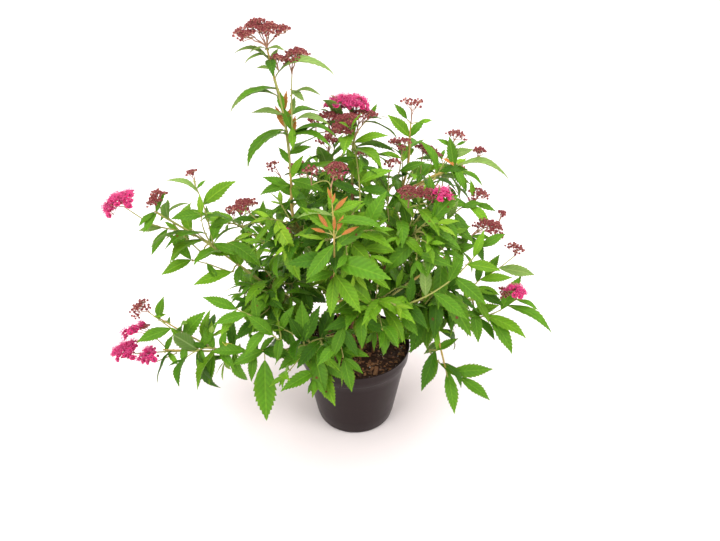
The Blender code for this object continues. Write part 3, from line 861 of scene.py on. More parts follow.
def add_leaf(growth, place, direction, face, size, tint, bend=None, narrow=1.0):
    """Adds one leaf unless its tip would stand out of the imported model's box."""
    length = growth.settings["leaf_length"] * size
    bend = growth.random.uniform(*LEAF_BENDS) if bend is None else bend
    direction = unit(direction)
    tip = place + direction * length * 0.8 - UP * length * 0.3 * bend
    low, high = (np.array(corner) for corner in CAD_BOX)
    if np.any(tip < low - BOX_SPARE) or np.any(tip > high + BOX_SPARE) or tip[2] < LOWEST_TIP:
        return
    face = across_of(direction, face)
    keep_leaf(growth, place, direction, face, length, length * narrow, bend, CROWN_SPANS, tint)


def dress(growth, path, tint, shares, sizes, spacing=None):
    """Sets leaves in a spiral along a path between two shares of its length."""
    random = growth.random
    first, last = shares
    spacing = spacing or growth.settings["leaf_spacing"]
    count = max(1, int(round((last - first) * path_length(path) / spacing)))
    turn = random.uniform(0.0, math.tau)
    outward = unit(np.array((path[-1][0], path[-1][1], 0.0)) + 1e-6)
    for index in range(count):
        share = first + (last - first) * (index + random.uniform(0.2, 0.8)) / count
        place, tangent = point_at(path, share)
        side = sideways_of(tangent)
        angle = turn + index * GOLDEN_TURN + random.normal(0.0, TURN_JITTER)
        radial = around(side, np.cross(tangent, side), angle)
        if radial[2] < LOWEST_HEADING:
            radial = unit(radial + UP * HEADING_LIFT)
        lean = math.radians(random.normal(*LEAF_LEAN))
        direction = around(tangent, radial, lean)
        face = UP * FACE_UP + (tangent + outward) * FACE_OUT + random.normal(0.0, FACE_JITTER, 3)
        size = sizes[0] + (sizes[1] - sizes[0]) * index / max(1, count - 1)
        add_leaf(growth, place, direction, face, size * random.uniform(*LEAF_SIZES), tint)


def tuft(growth, place, direction, tint):
    """The last small leaves at a shoot's tip, closing round it."""
    random = growth.random
    side = unit(np.cross(direction, UP + 0.01))
    other = np.cross(direction, side)
    start = random.uniform(0.0, math.tau)
    for index in range(TUFT_LEAVES):
        radial = around(side, other, start + index * GOLDEN_TURN)
        heading = around(direction, radial, math.radians(random.uniform(*TUFT_LEANS)))
        narrow = random.uniform(*TUFT_BREADTHS)
        size = TUFT_SIZE * random.uniform(*TUFT_SIZES)
        add_leaf(growth, place, heading, UP - radial * 0.5, size, tint, TUFT_BEND, narrow)


def grow_limb_leaves(growth):
    """Leaves on the boughs; the stems below the crown are bare."""
    for name, (points, _) in growth.limbs.items():
        if name.startswith("bough_"):
            path = curve_through(points, 24)
            if path_length(path) > BARE_BOUGH:
                tint = deal_tint(growth, path[-1][2])
                dress(growth, path, tint, (0.1, 0.95), (0.75, 0.75), spacing=0.022)


def is_blossom(name):
    """Whether a mass is all buds or open flowers, with no leaves of its own."""
    return name.startswith("shoot_") and any(word in name for word in ("head", "buds", "flowers"))


def mass_entry(growth, name):
    """Where the limb that carries a mass ends, its direction there and its radius."""
    points, radii = min(growth.limbs.values(), key=lambda limb: growth.gap_to(name, limb[0][-1]))
    if growth.gap_to(name, points[-1]) <= JOIN_GAP:
        return points[-1], unit(points[-1] - points[-2]), radii[-1]
    centre = growth.centres[name]
    others = [other for key, other in growth.centres.items() if key != name]
    start = min(others, key=lambda other: float(np.linalg.norm(centre - other)))
    return start, unit(centre - start), growth.settings["twig_radius"]


def grow_through(growth, name, entry, heading, radius):
    """Carries the stem on through a mass to the boughs that leave it."""
    paths = []
    for limb_name, (points, radii) in growth.limbs.items():
        if not limb_name.startswith("bough_") or growth.nearest_mass(points[0]) != name:
            continue
        span = np.linalg.norm(points[0] - entry)
        if span < JOIN_GAP:
            continue
        leave = unit(points[1] - points[0])
        inner = (entry + heading * span * 0.33, points[0] - leave * span * 0.33)
        path = curve_through((entry, *inner, points[0]), 14)
        growth.twigs.append((path, np.linspace(radius, radii[0], len(path))))
        growth.stems[f"{limb_name}_foot"] = [path]
        tint = deal_tint(growth, growth.centres[name][2])
        dress(growth, path, tint, (0.1, 0.95), (1.0, 0.95), spacing=0.02)
        paths.append(path)
    return paths


def grow_axis(growth, name, entry, heading, radius):
    """The main shoot of a mass, from its stem to its middle, or beyond if it carries sprays."""
    centre = growth.centres[name]
    reach = np.linalg.norm(centre - entry)
    beyond = AXIS_BEYOND if SPRAYS.get(name, 1) else 0.0
    end = centre + unit(centre - entry + UP * reach * 0.3) * reach * beyond
    path = bend_curve(entry, entry + heading * reach * 0.6, end, 14)
    growth.twigs.append((path, np.linspace(radius, radius * 0.5, len(path))))
    return path


def skin_targets(growth, name, count):
    """Spread out places on a mass's skin, found one after another as far apart as can be."""
    corners = growth.corners[name]
    chosen = [corners[int(growth.random.integers(len(corners)))]]
    gaps = np.linalg.norm(corners - chosen[0], axis=1)
    while len(chosen) < count:
        place = int(np.argmax(gaps))
        chosen.append(corners[place])
        gaps = np.minimum(gaps, np.linalg.norm(corners - corners[place], axis=1))
    return chosen[:count]


def grow_sprays(growth, name, axis, count):
    """Leafy sprays that branch from a mass's main shoot and end under its skin."""
    random = growth.random
    centre = growth.centres[name]
    radius = growth.settings["twig_radius"]
    for target in skin_targets(growth, name, count):
        tip = centre + (target - centre) * SPRAY_DEPTH
        start, heading = point_at(axis, random.uniform(*SPRAY_STARTS))
        span = np.linalg.norm(tip - start)
        if span < SHORTEST_SPRAY:
            continue
        control = start + unit(heading + UP * 0.4) * span * 0.45
        path = bend_curve(start, control, tip, 10)
        growth.twigs.append((path, np.linspace(radius, radius * 0.45, len(path))))
        tint = deal_tint(growth, tip[2])
        dress(growth, path, tint, (0.25, 0.97), (1.0, 0.82))
        young = ("lime", "bright", tint, tint)[int(random.integers(4))]
        tuft(growth, tip, unit(path[-1] - path[-2]), young)


def nearest_point(paths, place, rise=0.0):
    """The closest point of any path to a place, its direction, favouring points below it."""
    best = None
    for path in paths:
        gaps = np.linalg.norm(path - place, axis=1) + rise * np.maximum(0.0, path[:, 2] - place[2] + 0.006)
        index = int(np.argmin(gaps))
        if best is None or gaps[index] < best[0]:
            after = min(index, len(path) - 2)
            best = (gaps[index], path[index], unit(path[after + 1] - path[after]), index == len(path) - 1)
    return best


def grow_shoots(growth):
    """The shoots seen clear of the crown, each from the nearest place on its stem."""
    for name, stem, radius, *places in SHOOTS:
        points = np.array(places) * MM
        _, start, heading, _ = nearest_point(growth.stems[stem], points[0])
        gap = np.linalg.norm(start - points[0])
        if gap > SHOOT_GAP:
            points = np.vstack((start, (start + points[0]) / 2 + heading * gap * 0.12, points))
        path = curve_through(points, max(8, int(path_length(points) / SHOOT_STEP)))
        growth.twigs.append((path, np.linspace(radius, SHOOT_TIP, len(path)) * MM))
        growth.stems[name] = [path]


def grow_clear_leaves(growth):
    """The leaves that show singly, each on its own stem."""
    random = growth.random
    to_viewer = unit(np.array(EYE) - growth.centres["foliage_upper_front"])
    upward = np.cross(to_viewer, RIGHT)
    for stem, rows in CLEAR_LEAVES.items():
        for row in rows:
            spec = LeafPlace(*row)
            place, _ = point_at(growth.stems[stem][0], spec.share / 100)
            half_bend = math.radians(spec.bend) / 2
            chord = around(RIGHT, upward, math.radians(spec.heading))
            chord = unit(chord + to_viewer * random.uniform(0.05, 0.35))
            if spec.twig:
                side = place + chord * spec.twig * MM
                growth.twigs.append((np.linspace(place, side, 4), np.linspace(0.6, 0.45, 4) * MM))
                place = side
            roll = math.radians(max(10.0, 95.0 - 1.05 * spec.bend))
            narrow = COPPER_WIDTH if spec.tint == "copper" else 1.0 - 0.0042 * max(0.0, spec.bend - 40.0)
            arch = across_of(chord, around(UP, to_viewer, roll))
            length = spec.length * MM
            direction, face = around(chord, arch, half_bend), around(arch, -chord, half_bend)
            curved = length * half_bend / math.sin(half_bend)
            bend = half_bend * 2
            keep_leaf(growth, place, direction, face, curved, length * narrow, bend, CLEAR_SPANS, spec.tint)


def grow_heads(growth):
    """Flowering shoots that rise from their stems to heads of buds and blossom."""
    radius = growth.settings["twig_radius"]
    for stem, *rows in HEADS:
        for row in rows:
            head = Head(*row)
            place = np.array((head.x, head.y, head.z)) * MM
            spread = head.spread * MM
            _, start, heading, at_tip = nearest_point(growth.stems[stem], place, 1.5)
            gap = np.linalg.norm(place - start)
            outward = unit(np.array((place[0], place[1], 0.0)))
            rise = unit(UP + outward * 1.5 * np.linalg.norm(place[:2]))
            neck = place - rise * (NECK_DROP[0] * spread + NECK_DROP[1])
            if at_tip and gap < TIP_REACH[0] * spread + TIP_REACH[1]:
                neck = start
            span = np.linalg.norm(neck - start)
            if span > 0.001:
                control = start + unit(heading + UP * (0.0 if at_tip else 0.5)) * span * 0.4
                path = bend_curve(start, control, neck, max(5, int(span / 0.004)))
                thick = radius * (0.55 if at_tip else 0.9)
                growth.twigs.append((path, np.linspace(thick, radius * 0.5, len(path))))
            growth.heads.append((neck, rise, spread, head.bloom, head.fill, place))
            if span > LEAFY_STALK:
                tint = deal_tint(growth, place[2])
                dress(growth, path, tint, (0.10, 0.60), (0.75, 0.40), spacing=0.018)


@functools.lru_cache(maxsize=None)
def plan_growth(*values):
    growth = Growth(dict(zip(PLAN_SETTINGS, values)))
    grow_limb_leaves(growth)
    axes = {}
    for name in sorted(growth.centres):
        entry, heading, radius = mass_entry(growth, name)
        growth.stems[name] = grow_through(growth, name, entry, heading, radius)
        if not is_blossom(name) and name != SINGLE_LEAF:
            axes[name] = grow_axis(growth, name, entry, heading, radius * 0.8)
            growth.stems[name].insert(0, axes[name])
    grow_shoots(growth)
    grow_heads(growth)
    for name, axis in axes.items():
        size = growth.corners[name].max(axis=0) - growth.corners[name].min(axis=0)
        scale = float(np.cbrt(np.prod(size))) / FULL_MASS
        count = max(3, int(round(growth.settings["skin_sprays"] * min(1.0, scale**2))))
        grow_sprays(growth, name, axis, SPRAYS.get(name, count))
    grow_clear_leaves(growth)
    return growth


def current_plan():
    plant = bpy.context.scene.spirea_plant
    return plan_growth(*(getattr(plant, key) for key in PLAN_SETTINGS))


def leaf_places(leaves, form):
    """Every vertex of every leaf, bent, folded, twisted and set in place."""
    (along, across, relief, under), _ = form
    along, across = along[None], across[None]
    place, direction, face, length, width, bend, fold, twist = (
        np.array([getattr(leaf, field) for leaf in leaves])[:, None] for field in Leaf._fields[:8]
    )
    reach = across * width
    height = np.abs(reach) * fold + relief[None] * width + under[None] * LEAF_BODY / 2
    height = height + np.sin(along * WAVES + twist * WAVE_SHIFT) * np.abs(reach) * WAVE_HEIGHT
    turn = twist * along
    sideways = reach * np.cos(turn) - height * np.sin(turn)
    lift = reach * np.sin(turn) + height * np.cos(turn)
    arc = bend * along
    forward = length * np.sin(arc) / bend + lift * np.sin(arc)
    drop = lift * np.cos(arc) - length * (1 - np.cos(arc)) / bend
    side = np.cross(direction, face)
    return place + direction * forward[..., None] + face * drop[..., None] + side * sideways[..., None]


class Value:
    """An output of a shader node; arithmetic on it adds further nodes."""

    def __init__(self, look, socket):
        self.look = look
        self.socket = socket

    def calc(self, operation, second=0.5, third=0.0):
        return self.look.node("ShaderNodeMath", 0, {0: self, 1: second, 2: third}, operation=operation)

    def __add__(self, other):
        return self.calc("ADD", other)

    def __sub__(self, other):
        return self.calc("SUBTRACT", other)

    def __rsub__(self, other):
        return self.calc("MULTIPLY_ADD", -1.0, other)

    def __mul__(self, other):
        return self.calc("MULTIPLY", other)

    def __truediv__(self, other):
        return self.calc("DIVIDE", other)

    def under(self, near, far):
        """1 where the value is under near, falling smoothly to 0 at far."""
        limits = {"Value": self, "From Min": near, "From Max": far, "To Min": 1.0, "To Max": 0.0}
        return self.look.node("ShaderNodeMapRange", "Result", limits, interpolation_type="SMOOTHSTEP")


class Look:
    """A new material, with short ways to add nodes to it."""

    def __init__(self, name):
        self.material = bpy.data.materials.new(name)
        self.material.use_nodes = True
        self.tree = self.material.node_tree
        self.shader = self.tree.nodes["Principled BSDF"]

    def feed(self, socket, value):
        if isinstance(value, Value):
            self.tree.links.new(value.socket, socket)
        else:
            socket.default_value = (*value[:3], 1.0) if socket.type == "RGBA" else value

    def node(self, kind, output, inputs=(), **settings):
        """Adds a node, feeds its inputs with values or other nodes' outputs, and gives an output."""
        made = self.tree.nodes.new(kind)
        for key, value in settings.items():
            setattr(made, key, value)
        for key, value in dict(inputs).items():
            self.feed(made.inputs[key], value)
        return Value(self, made.outputs[output])

    def map(self):
        """The place on the piece's map, then how far it is across and along the map."""
        place = self.node("ShaderNodeUVMap", 0, uv_map=MAP_NAME)
        across, along = (self.node("ShaderNodeSeparateXYZ", axis, {0: place}) for axis in (0, 1))
        return place, across, along

    def stretched(self, place, scale):
        return self.node("ShaderNodeMapping", 0, {"Vector": place, "Scale": scale})

    def noise(self, place, scale, detail=2.0, roughness=0.5):
        inputs = {"Vector": place, "Scale": scale, "Detail": detail, "Roughness": roughness}
        return self.node("ShaderNodeTexNoise", "Fac", inputs)

    def cells(self, place, scale):
        return self.node("ShaderNodeTexVoronoi", "Distance", {"Vector": place, "Scale": scale})

    def mix(self, share, first, second, blend="MIX"):
        inputs = {0: share, 6: first, 7: second}
        return self.node("ShaderNodeMix", 2, inputs, data_type="RGBA", blend_type=blend)

    def finish(self, colour, roughness, specular, height, strength, depth):
        """Joins up the colour, the gloss and the relief, whose depth is in metres."""
        relief = {"Height": height, "Strength": strength, "Distance": depth}
        bump = self.node("ShaderNodeBump", 0, relief)
        looks = {"Base Color": colour, "Roughness": roughness, "Specular IOR Level": specular, "Normal": bump}
        for key, value in looks.items():
            self.feed(self.shader.inputs[key], value)
        return self.material


def tinted(colour, factor):
    return tuple(min(1.0, part * factor) for part in colour)


def leaf_material(name, colour):
    """Leaf with a pale midrib, slanting side veins, mottling, painted shade of its quilting and a paler
    underside.
    """
    look = Look(name)
    place, across, along = look.map()
    across = across * float(LEAF_TILES)
    variant = across.calc("FLOOR")
    sideways = (across.calc("FRACT") - 0.5) * ((1 + TOOTH_OUT) / TILE_INSET)
    off_rib = sideways.calc("ABSOLUTE")
    upper = along.calc("GREATER_THAN", 0.5)
    share = ((along * 2.0).calc("FRACT") - LEAF_MAP_START) / LEAF_MAP_SPAN
    step = (TIP_SHARE - BASE_SHARE) / (2 * VEIN_PAIRS - 1)
    phase = (share - off_rib * VEIN_SLANT - (BASE_SHARE + step)) / (2 * step)
    phase = (phase.calc("FRACT") - 0.5).calc("ABSOLUTE")
    side_vein = (1.0 - phase.under(0.34, 0.47)) * 0.25
    veins = side_vein.calc("MAXIMUM", off_rib.under(0.03, 0.12))
    mottle = look.noise(place, 42.0, 4.0, 0.6)
    broad = look.noise(place, 9.0)
    # Painted shade: the panels between the side veins are lighter at their middle and darker along the veins,
    # as the quilting's bulges would be lit. The other factors are each leaf's own tone and its mottling.
    tone_and_painted_shade = (variant.calc("MODULO", 3.0) * 0.12 + 0.88) * (phase.under(0.10, 0.46) * 0.23 + 0.88)
    tone_and_painted_shade = tone_and_painted_shade * (mottle * 0.36 + 0.82) * (broad * 0.5 + 0.75)
    tone_and_painted_shade_rgb = look.node("ShaderNodeCombineXYZ", 0, {0: tone_and_painted_shade, 1: tone_and_painted_shade, 2: tone_and_painted_shade})
    body = look.mix(1.0, colour, tone_and_painted_shade_rgb, "MULTIPLY")
    pale = tuple(min(1.0, part * gain) for part, gain in zip(colour, VEIN_GAINS))
    body = look.mix(veins * 0.42, body, pale)
    spot_across, spot_along = (sideways - 0.4) * 0.17, share - 0.58
    reach = (spot_across.calc("POWER", 2.0) + spot_along.calc("POWER", 2.0)).calc("SQRT") + mottle * 0.04
    body = look.mix(reach.under(0.040, 0.056) * variant.calc("GREATER_THAN", 2.5), body, SPOT_BROWN)
    under = look.mix(0.35, body, UNDERSIDE)
    under = look.mix(veins * 0.35, under, UNDERSIDE_VEIN)
    gloss = mottle * 0.16 + 0.40 + (1.0 - upper) * 0.25
    for key, value in LEAF_GLOW.items():
        look.feed(look.shader.inputs[key], value)
    return look.finish(look.mix(upper, under, body), gloss, 0.11, mottle * 0.35 - veins, 0.5, 0.0005)


def bark_material(name, colour, dark, pale):
    """Thin bark, shaded along fine streaks, with small pale pores."""
    look = Look(name)
    place, _, _ = look.map()
    grain = look.noise(look.stretched(place, (18.0, 3.0, 1.0)), 1.6, 5.0, 0.65)
    body = look.mix(grain.under(0.35, 0.62), colour, dark)
    body = look.mix(look.cells(place, 9.0).under(0.05, 0.12) * pale, body, tinted(colour, 1.7))
    return look.finish(body, grain * 0.3 + 0.5, 0.12, grain, 0.4, 0.0003)


def bloom_material(name, colour, tip):
    """Buds, petals and stamens: the colour at the base runs into another at the tip."""
    look = Look(name)
    place, _, along = look.map()
    grain = look.noise(place, 14.0, 3.0)
    run = along + (grain - 0.5) * 0.5
    body = look.mix(run.under(0.20, 0.80), tip, colour)
    return look.finish(body, grain * 0.2 + 0.5, 0.15, grain, 0.15, 0.0002)


def sphere_form(columns, rows):
    """A small closed ball: unit places, faces and map places, its map running up its height."""
    places = [(0.0, 0.0, -1.0)]
    for row in range(1, rows):
        level = -math.cos(math.pi * row / rows)
        radius = math.sqrt(1 - level * level)
        for angle in math.tau * np.arange(columns) / columns:
            places.append((radius * math.cos(angle), radius * math.sin(angle), level))
    places.append((0.0, 0.0, 1.0))
    top = len(places) - 1
    last = top - columns
    triangles = []
    for column in range(columns):
        after = (column + 1) % columns
        triangles += [(0, 1 + after, 1 + column), (last + column, last + after, top)]
    places = np.array(places)
    groups = []
    for faces in (ring_quads(range(rows - 1), columns, 1)[0], triangles):
        corners = places[np.array(faces)]
        maps = np.stack((corners[..., 0] * 0.45 + 0.5, corners[..., 2] * 0.47 + 0.5), axis=-1)
        groups.append((faces, maps))
    return places, groups


def turned_frames(axes):
    """Three square directions for each axis, the last along it."""
    side = unit(np.cross(axes, np.array((0.31, 0.77, 0.55))))
    return side, np.cross(axes, side), axes


def set_copies(form, places, axes, sizes):
    """Copies of a small form at places, their third axis along axes."""
    frames = np.stack(turned_frames(unit(axes)), axis=1)
    return places[:, None] + (form[None] * np.asarray(sizes)[:, None, None]) @ frames


def petal_form():
    """A cupped petal: three columns and four rows, with a short claw, as a thin closed leaf."""
    places, faces = [], []
    for level in (0.0, -PETAL_BODY):
        for along, half, lift in PETAL_ROWS:
            for column in (-1, 0, 1):
                places.append((along, column * half, lift + PETAL_CUP * abs(column) + level))
    count = len(places) // 2
    for low in range(count - 3):
        if low % 3 < 2:
            faces.append((low, low + 3, low + 4, low + 1))
            faces.append((count + low + 1, count + low + 4, count + low + 3, count + low))
    for vertex, after in zip(PETAL_EDGE, PETAL_EDGE[1:] + PETAL_EDGE[:1]):
        faces.append((vertex, count + vertex, count + after, after))
    places, faces = np.array(places), np.array(faces)
    maps = np.stack((places[faces][..., 1] * 0.8 + 0.5, places[faces][..., 0] * 0.9 + 0.05), axis=-1)
    return places, (faces, maps)


class HeadMaker:
    """Collects the stalks, buds, petals and stamens of every flower head."""

    def __init__(self, growth, bud_size, flower_size):
        self.random = np.random.default_rng(growth.settings["seed"] + 7)
        self.bud_size = bud_size
        self.flower_size = flower_size
        self.stalks, self.buds, self.petals, self.stamens = Heap(), Heap(), Heap(), Heap()
        self.bud_rows = []
        self.flower_rows = []

    def grow(self, neck, rise, spread, bloom, fill, middle):
        """A flat topped head: rays from the neck, each with its own cluster of flowers."""
        random = self.random
        side, other, up = turned_frames(unit(rise))
        cluster = min(CLUSTER, spread * 0.6)
        rays = max(3, int(round(1.15 * fill * (spread / cluster) ** 2)))
        angles = np.arange(rays) * GOLDEN_TURN + random.uniform(0, math.tau)
        radii = (spread - cluster * 0.6) * np.sqrt((np.arange(rays) + 0.4) / rays)
        forks = max(2, rays // 4)
        sectors = (angles % math.tau / math.tau * forks).astype(int)
        for sector in sorted(set(sectors)):
            crests = []
            for angle, radius in zip(angles[sectors == sector], radii[sectors == sector]):
                out = around(side, other, angle)
                dome = DOME_HEIGHT * spread * (1 - (radius / spread) ** 2) + random.normal(0, DOME_JITTER)
                crest = middle + out * radius + up * (dome - DOME_SUNK * spread)
                crests.append((crest, unit(up + out * DOME_LEAN * radius / spread)))
            middle_crest = np.mean([crest for crest, _ in crests], axis=0)
            branch = neck + (middle_crest - neck) * random.uniform(0.35, 0.5)
            self.add_stalk(neck, branch, up, BRANCH_RADII)
            for crest, heading in crests:
                fork = crest - heading * random.uniform(*RAY_LENGTHS)
                self.add_stalk(branch, fork, up, RAY_RADII)
                self.add_cluster(fork, crest, heading, cluster, bloom, fill)

    def add_stalk(self, start, end, up, radii, sides=4, top=None):
        """A stalk that leaves along up and bends to its end, or to just under a bud's top."""
        reach = np.linalg.norm((end if top is None else top) - start)
        path = bend_curve(start, start + up * reach * 0.35, end, len(radii))
        self.stalks.add(*tube(path, radii, sides))

    def add_cluster(self, fork, crest, heading, cluster, bloom, fill):
        random = self.random
        side, other, up = turned_frames(heading)
        opened = random.random() < bloom
        count = OPEN_FLOWERS if opened else int(round(BUDS * min(1.0, fill) + 1))
        start = random.uniform(0, math.tau)
        for index in range(count):
            angle = start + index * GOLDEN_TURN
            radius = cluster * math.sqrt((index + 0.3) / count) * random.uniform(0.85, 1.1)
            sunk = 0.22 * radius * radius / cluster + random.uniform(0, SUNK_BUD)
            top = crest + around(side, other, angle) * radius - up * sunk
            lean = unit(unit(top - fork) + up * 0.5)
            self.add_stalk(fork, top - lean * self.bud_size * 0.35, up, BUD_STALK_RADII, 3, top)
            if opened and random.random() < OPEN_SHARE:
                self.flower_rows.append((top, lean))
            else:
                self.bud_rows.append((top, lean, self.bud_size / 2 * random.uniform(0.72, 1.12)))

    def finish_buds(self):
        form, groups = sphere_form(7, 5)
        places, axes, sizes = (np.array(column) for column in zip(*self.bud_rows))
        self.buds.add(set_copies(form, places, axes, sizes), *groups)

    def finish_flowers(self):
        random = self.random
        petal, petal_faces = petal_form()
        anther = sphere_form(4, 3)
        for top, heading in self.flower_rows:
            side, other, up = turned_frames(unit(heading + random.normal(0, 0.18, 3)))
            start = random.uniform(0, math.tau)
            for index in range(PETALS):
                angle = start + math.tau * index / PETALS + random.normal(0, 0.08)
                out = around(side, other, angle)
                across = np.cross(up, out)
                open_out = unit(out + up * random.uniform(0.05, 0.35))
                size = self.flower_size / 2 * random.uniform(0.9, 1.1)
                turn = np.array((open_out, across, np.cross(open_out, across)))
                self.petals.add(top + petal * size @ turn, petal_faces)
            self.add_stamens(top, side, other, up, *anther)
        cup, cup_groups = sphere_form(6, 4)
        places, axes = (np.array(column) for column in zip(*self.flower_rows))
        sizes = np.full(len(places), self.bud_size * 0.36)
        self.buds.add(set_copies(cup, places, axes, sizes), *cup_groups)

    def add_stamens(self, top, side, other, up, anther, anther_groups):
        random = self.random
        lean = np.radians(random.uniform(*STAMEN_LEANS, STAMENS))
        reach = self.flower_size * random.uniform(*STAMEN_REACHES, STAMENS)
        headings = []
        for index in range(STAMENS):
            out = around(side, other, index * GOLDEN_TURN)
            headings.append(around(up, out, lean[index]))
        headings = np.array(headings)
        tips = top + headings * reach[:, None]
        for tip in tips:
            self.stamens.add(*tube((top, (top + tip) / 2 + up * STAMEN_BOW, tip), STAMEN_RADII, 3))
        copies = set_copies(anther, tips, headings, np.full(STAMENS, ANTHER_RADIUS))
        self.stamens.add(copies, *anther_groups)


def seat(piece, slot, *nodes):
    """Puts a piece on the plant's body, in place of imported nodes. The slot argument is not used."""
    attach(piece, BODY)
    if nodes:
        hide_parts(*nodes)
    return piece


def nodes_named(*starts):
    return sorted(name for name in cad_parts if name.startswith(starts))


def bark_tube(points, radii, sides, random, step=0.0022):
    """A limb with the relief of bark: low ridges along it and swollen joints."""
    length = path_length(points)
    count = max(4, int(length / step))
    travelled = np.linspace(0.0, length, count)
    plain = np.interp(np.linspace(0, 1, count), np.linspace(0, 1, len(radii)), radii)
    angles = math.tau * np.arange(sides) / sides
    phase = random.uniform(0, math.tau)
    ridges = 0.05 * np.sin(3 * angles[None] + phase + travelled[:, None] * 160.0)
    ridges = ridges + 0.035 * np.sin(5 * angles[None] - phase + travelled[:, None] * 420.0)
    joints = np.zeros(count)
    for place in np.arange(FIRST_JOINT, length, JOINT_SPACING):
        joints += JOINT_SWELL * np.exp(-(((travelled - place) / JOINT_LENGTH) ** 2))
    swell = (1 + joints)[:, None] + ridges + random.normal(0, 0.02, (count, sides))
    return tube(curve_through(points, count), plain[:, None] * swell, sides)


class SPIREA_OT_stems(bpy.types.Operator):
    """Gives the stems and boughs their bark and grows the twigs inside the crown"""

    bl_idname = "spirea.build_stems"
    bl_label = "Stems and twigs"

    def execute(self, context):
        colours = context.scene.spirea_colours
        growth = current_plan()
        random = np.random.default_rng(growth.settings["seed"] + 3)
        woody, young, twigs = Heap(), Heap(), Heap()
        for name, (points, radii) in growth.limbs.items():
            heap, scale = (woody, 1.0) if name.startswith("stem_") else (young, BOUGH_SCALE)
            heap.add(*bark_tube(points, radii * scale, 10, random))
        for points, radii in growth.twigs:
            heap = young if radii[0] > THICK_TWIG else twigs
            heap.add(*bark_tube(points, radii, 6, random, 0.004))
        bark = bark_material("spirea_bark", colours.bark, tinted(colours.bark, 0.4), 0.5)
        tan = bark_material("spirea_bough_bark", colours.bough, tinted(colours.bough, 0.55), 0.3)
        straw = bark_material("spirea_young_bark", colours.straw, tinted(colours.straw, 0.62), 0.25)
        seat(woody.build("woody_stems", bark), "stem_bark", *nodes_named("stem_"))
        seat(young.build("young_boughs", tan), "young_stem", *nodes_named("bough_"))
        seat(twigs.build("twigs", straw), "young_stem")
        return {"FINISHED"}


def leaf_heap(leaves):
    heap = Heap()
    for pairs in (VEIN_PAIRS, SMALL_VEIN_PAIRS):
        part = [leaf for leaf in leaves if (leaf.length > SMALL_LEAF) == (pairs == VEIN_PAIRS)]
        if part:
            form = leaf_form(pairs)
            tiles = np.array([leaf.tile for leaf in part])
            heap.add(leaf_places(part, form), *leaf_maps(form, tiles))
    return heap


class SPIREA_OT_leaves(bpy.types.Operator):
    """Grows the leaves, a piece or more for each tint, and their stalks"""

    bl_idname = "spirea.build_leaves"
    bl_label = "Leaves"

    def execute(self, context):
        colours = context.scene.spirea_colours
        growth = current_plan()
        leafy = [name for name in nodes_named("foliage_", "shoot_") if not is_blossom(name)]
        for tint in TINTS:
            chosen = [leaf for leaf in growth.leaves if leaf.tint == tint]
            if not chosen:
                continue
            chosen.sort(key=lambda leaf: leaf.place[2])
            material = leaf_material(f"spirea_leaf_{tint}", tuple(getattr(colours, tint)))
            batches = -(-len(chosen) // LEAVES_IN_PIECE)
            for batch in range(batches):
                part = chosen[batch * len(chosen) // batches:(batch + 1) * len(chosen) // batches]
                piece = leaf_heap(part).build(f"leaves_{tint}_{batch + 1}", material, LEAF_CREASE)
                seat(piece, "leaf_green", *(leafy if tint == "mid" and batch == 0 else ()))
        stalks = Heap()
        for leaf in growth.leaves:
            start = leaf.place - leaf.direction * LEAF_STALK_FOOT
            middle, end = (leaf.place - leaf.face * drop for drop in LEAF_STALK_DROPS)
            end = end + leaf.direction * leaf.length * LEAF_STALK_SHARE
            stalks.add(*tube((start, middle, end), LEAF_STALK_RADII, 4))
        straw = bark_material("spirea_leaf_stalk", colours.straw, tinted(colours.straw, 0.7), 0.1)
        seat(stalks.build("leaf_stalks", straw), "young_stem")
        return {"FINISHED"}


class SPIREA_OT_heads(bpy.types.Operator):
    """Grows the flat heads of buds and open flowers"""

    bl_idname = "spirea.build_heads"
    bl_label = "Flower heads"

    def execute(self, context):
        plant = context.scene.spirea_plant
        colours = context.scene.spirea_colours
        growth = current_plan()
        maker = HeadMaker(growth, plant.bud_size, plant.flower_size)
        for head in growth.heads:
            maker.grow(*head)
        maker.finish_buds()
        maker.finish_flowers()
        blush = bloom_material("spirea_bud", colours.bud, BUD_TIP)
        pink = bloom_material("spirea_petal", tinted(colours.petal, 0.55), PETAL_TIP)
        thread = bloom_material("spirea_stamen", colours.petal, STAMEN_TIP)
        stalk = bark_material("spirea_flower_stalk", *FLOWER_STALK_COLOURS, 0.1)
        masses = nodes_named("shoot_")
        budded = [name for name in masses if "head" in name or "buds" in name]
        seat(maker.buds.build("buds", blush), "bud_maroon", *budded)
        flowering = [name for name in masses if "flowers" in name]
        seat(maker.petals.build("petals", pink), "flower_pink", *flowering)
        seat(maker.stamens.build("stamens", thread), "flower_pink")
        seat(maker.stalks.build("flower_stalks", stalk), "young_stem")
        return {"FINISHED"}


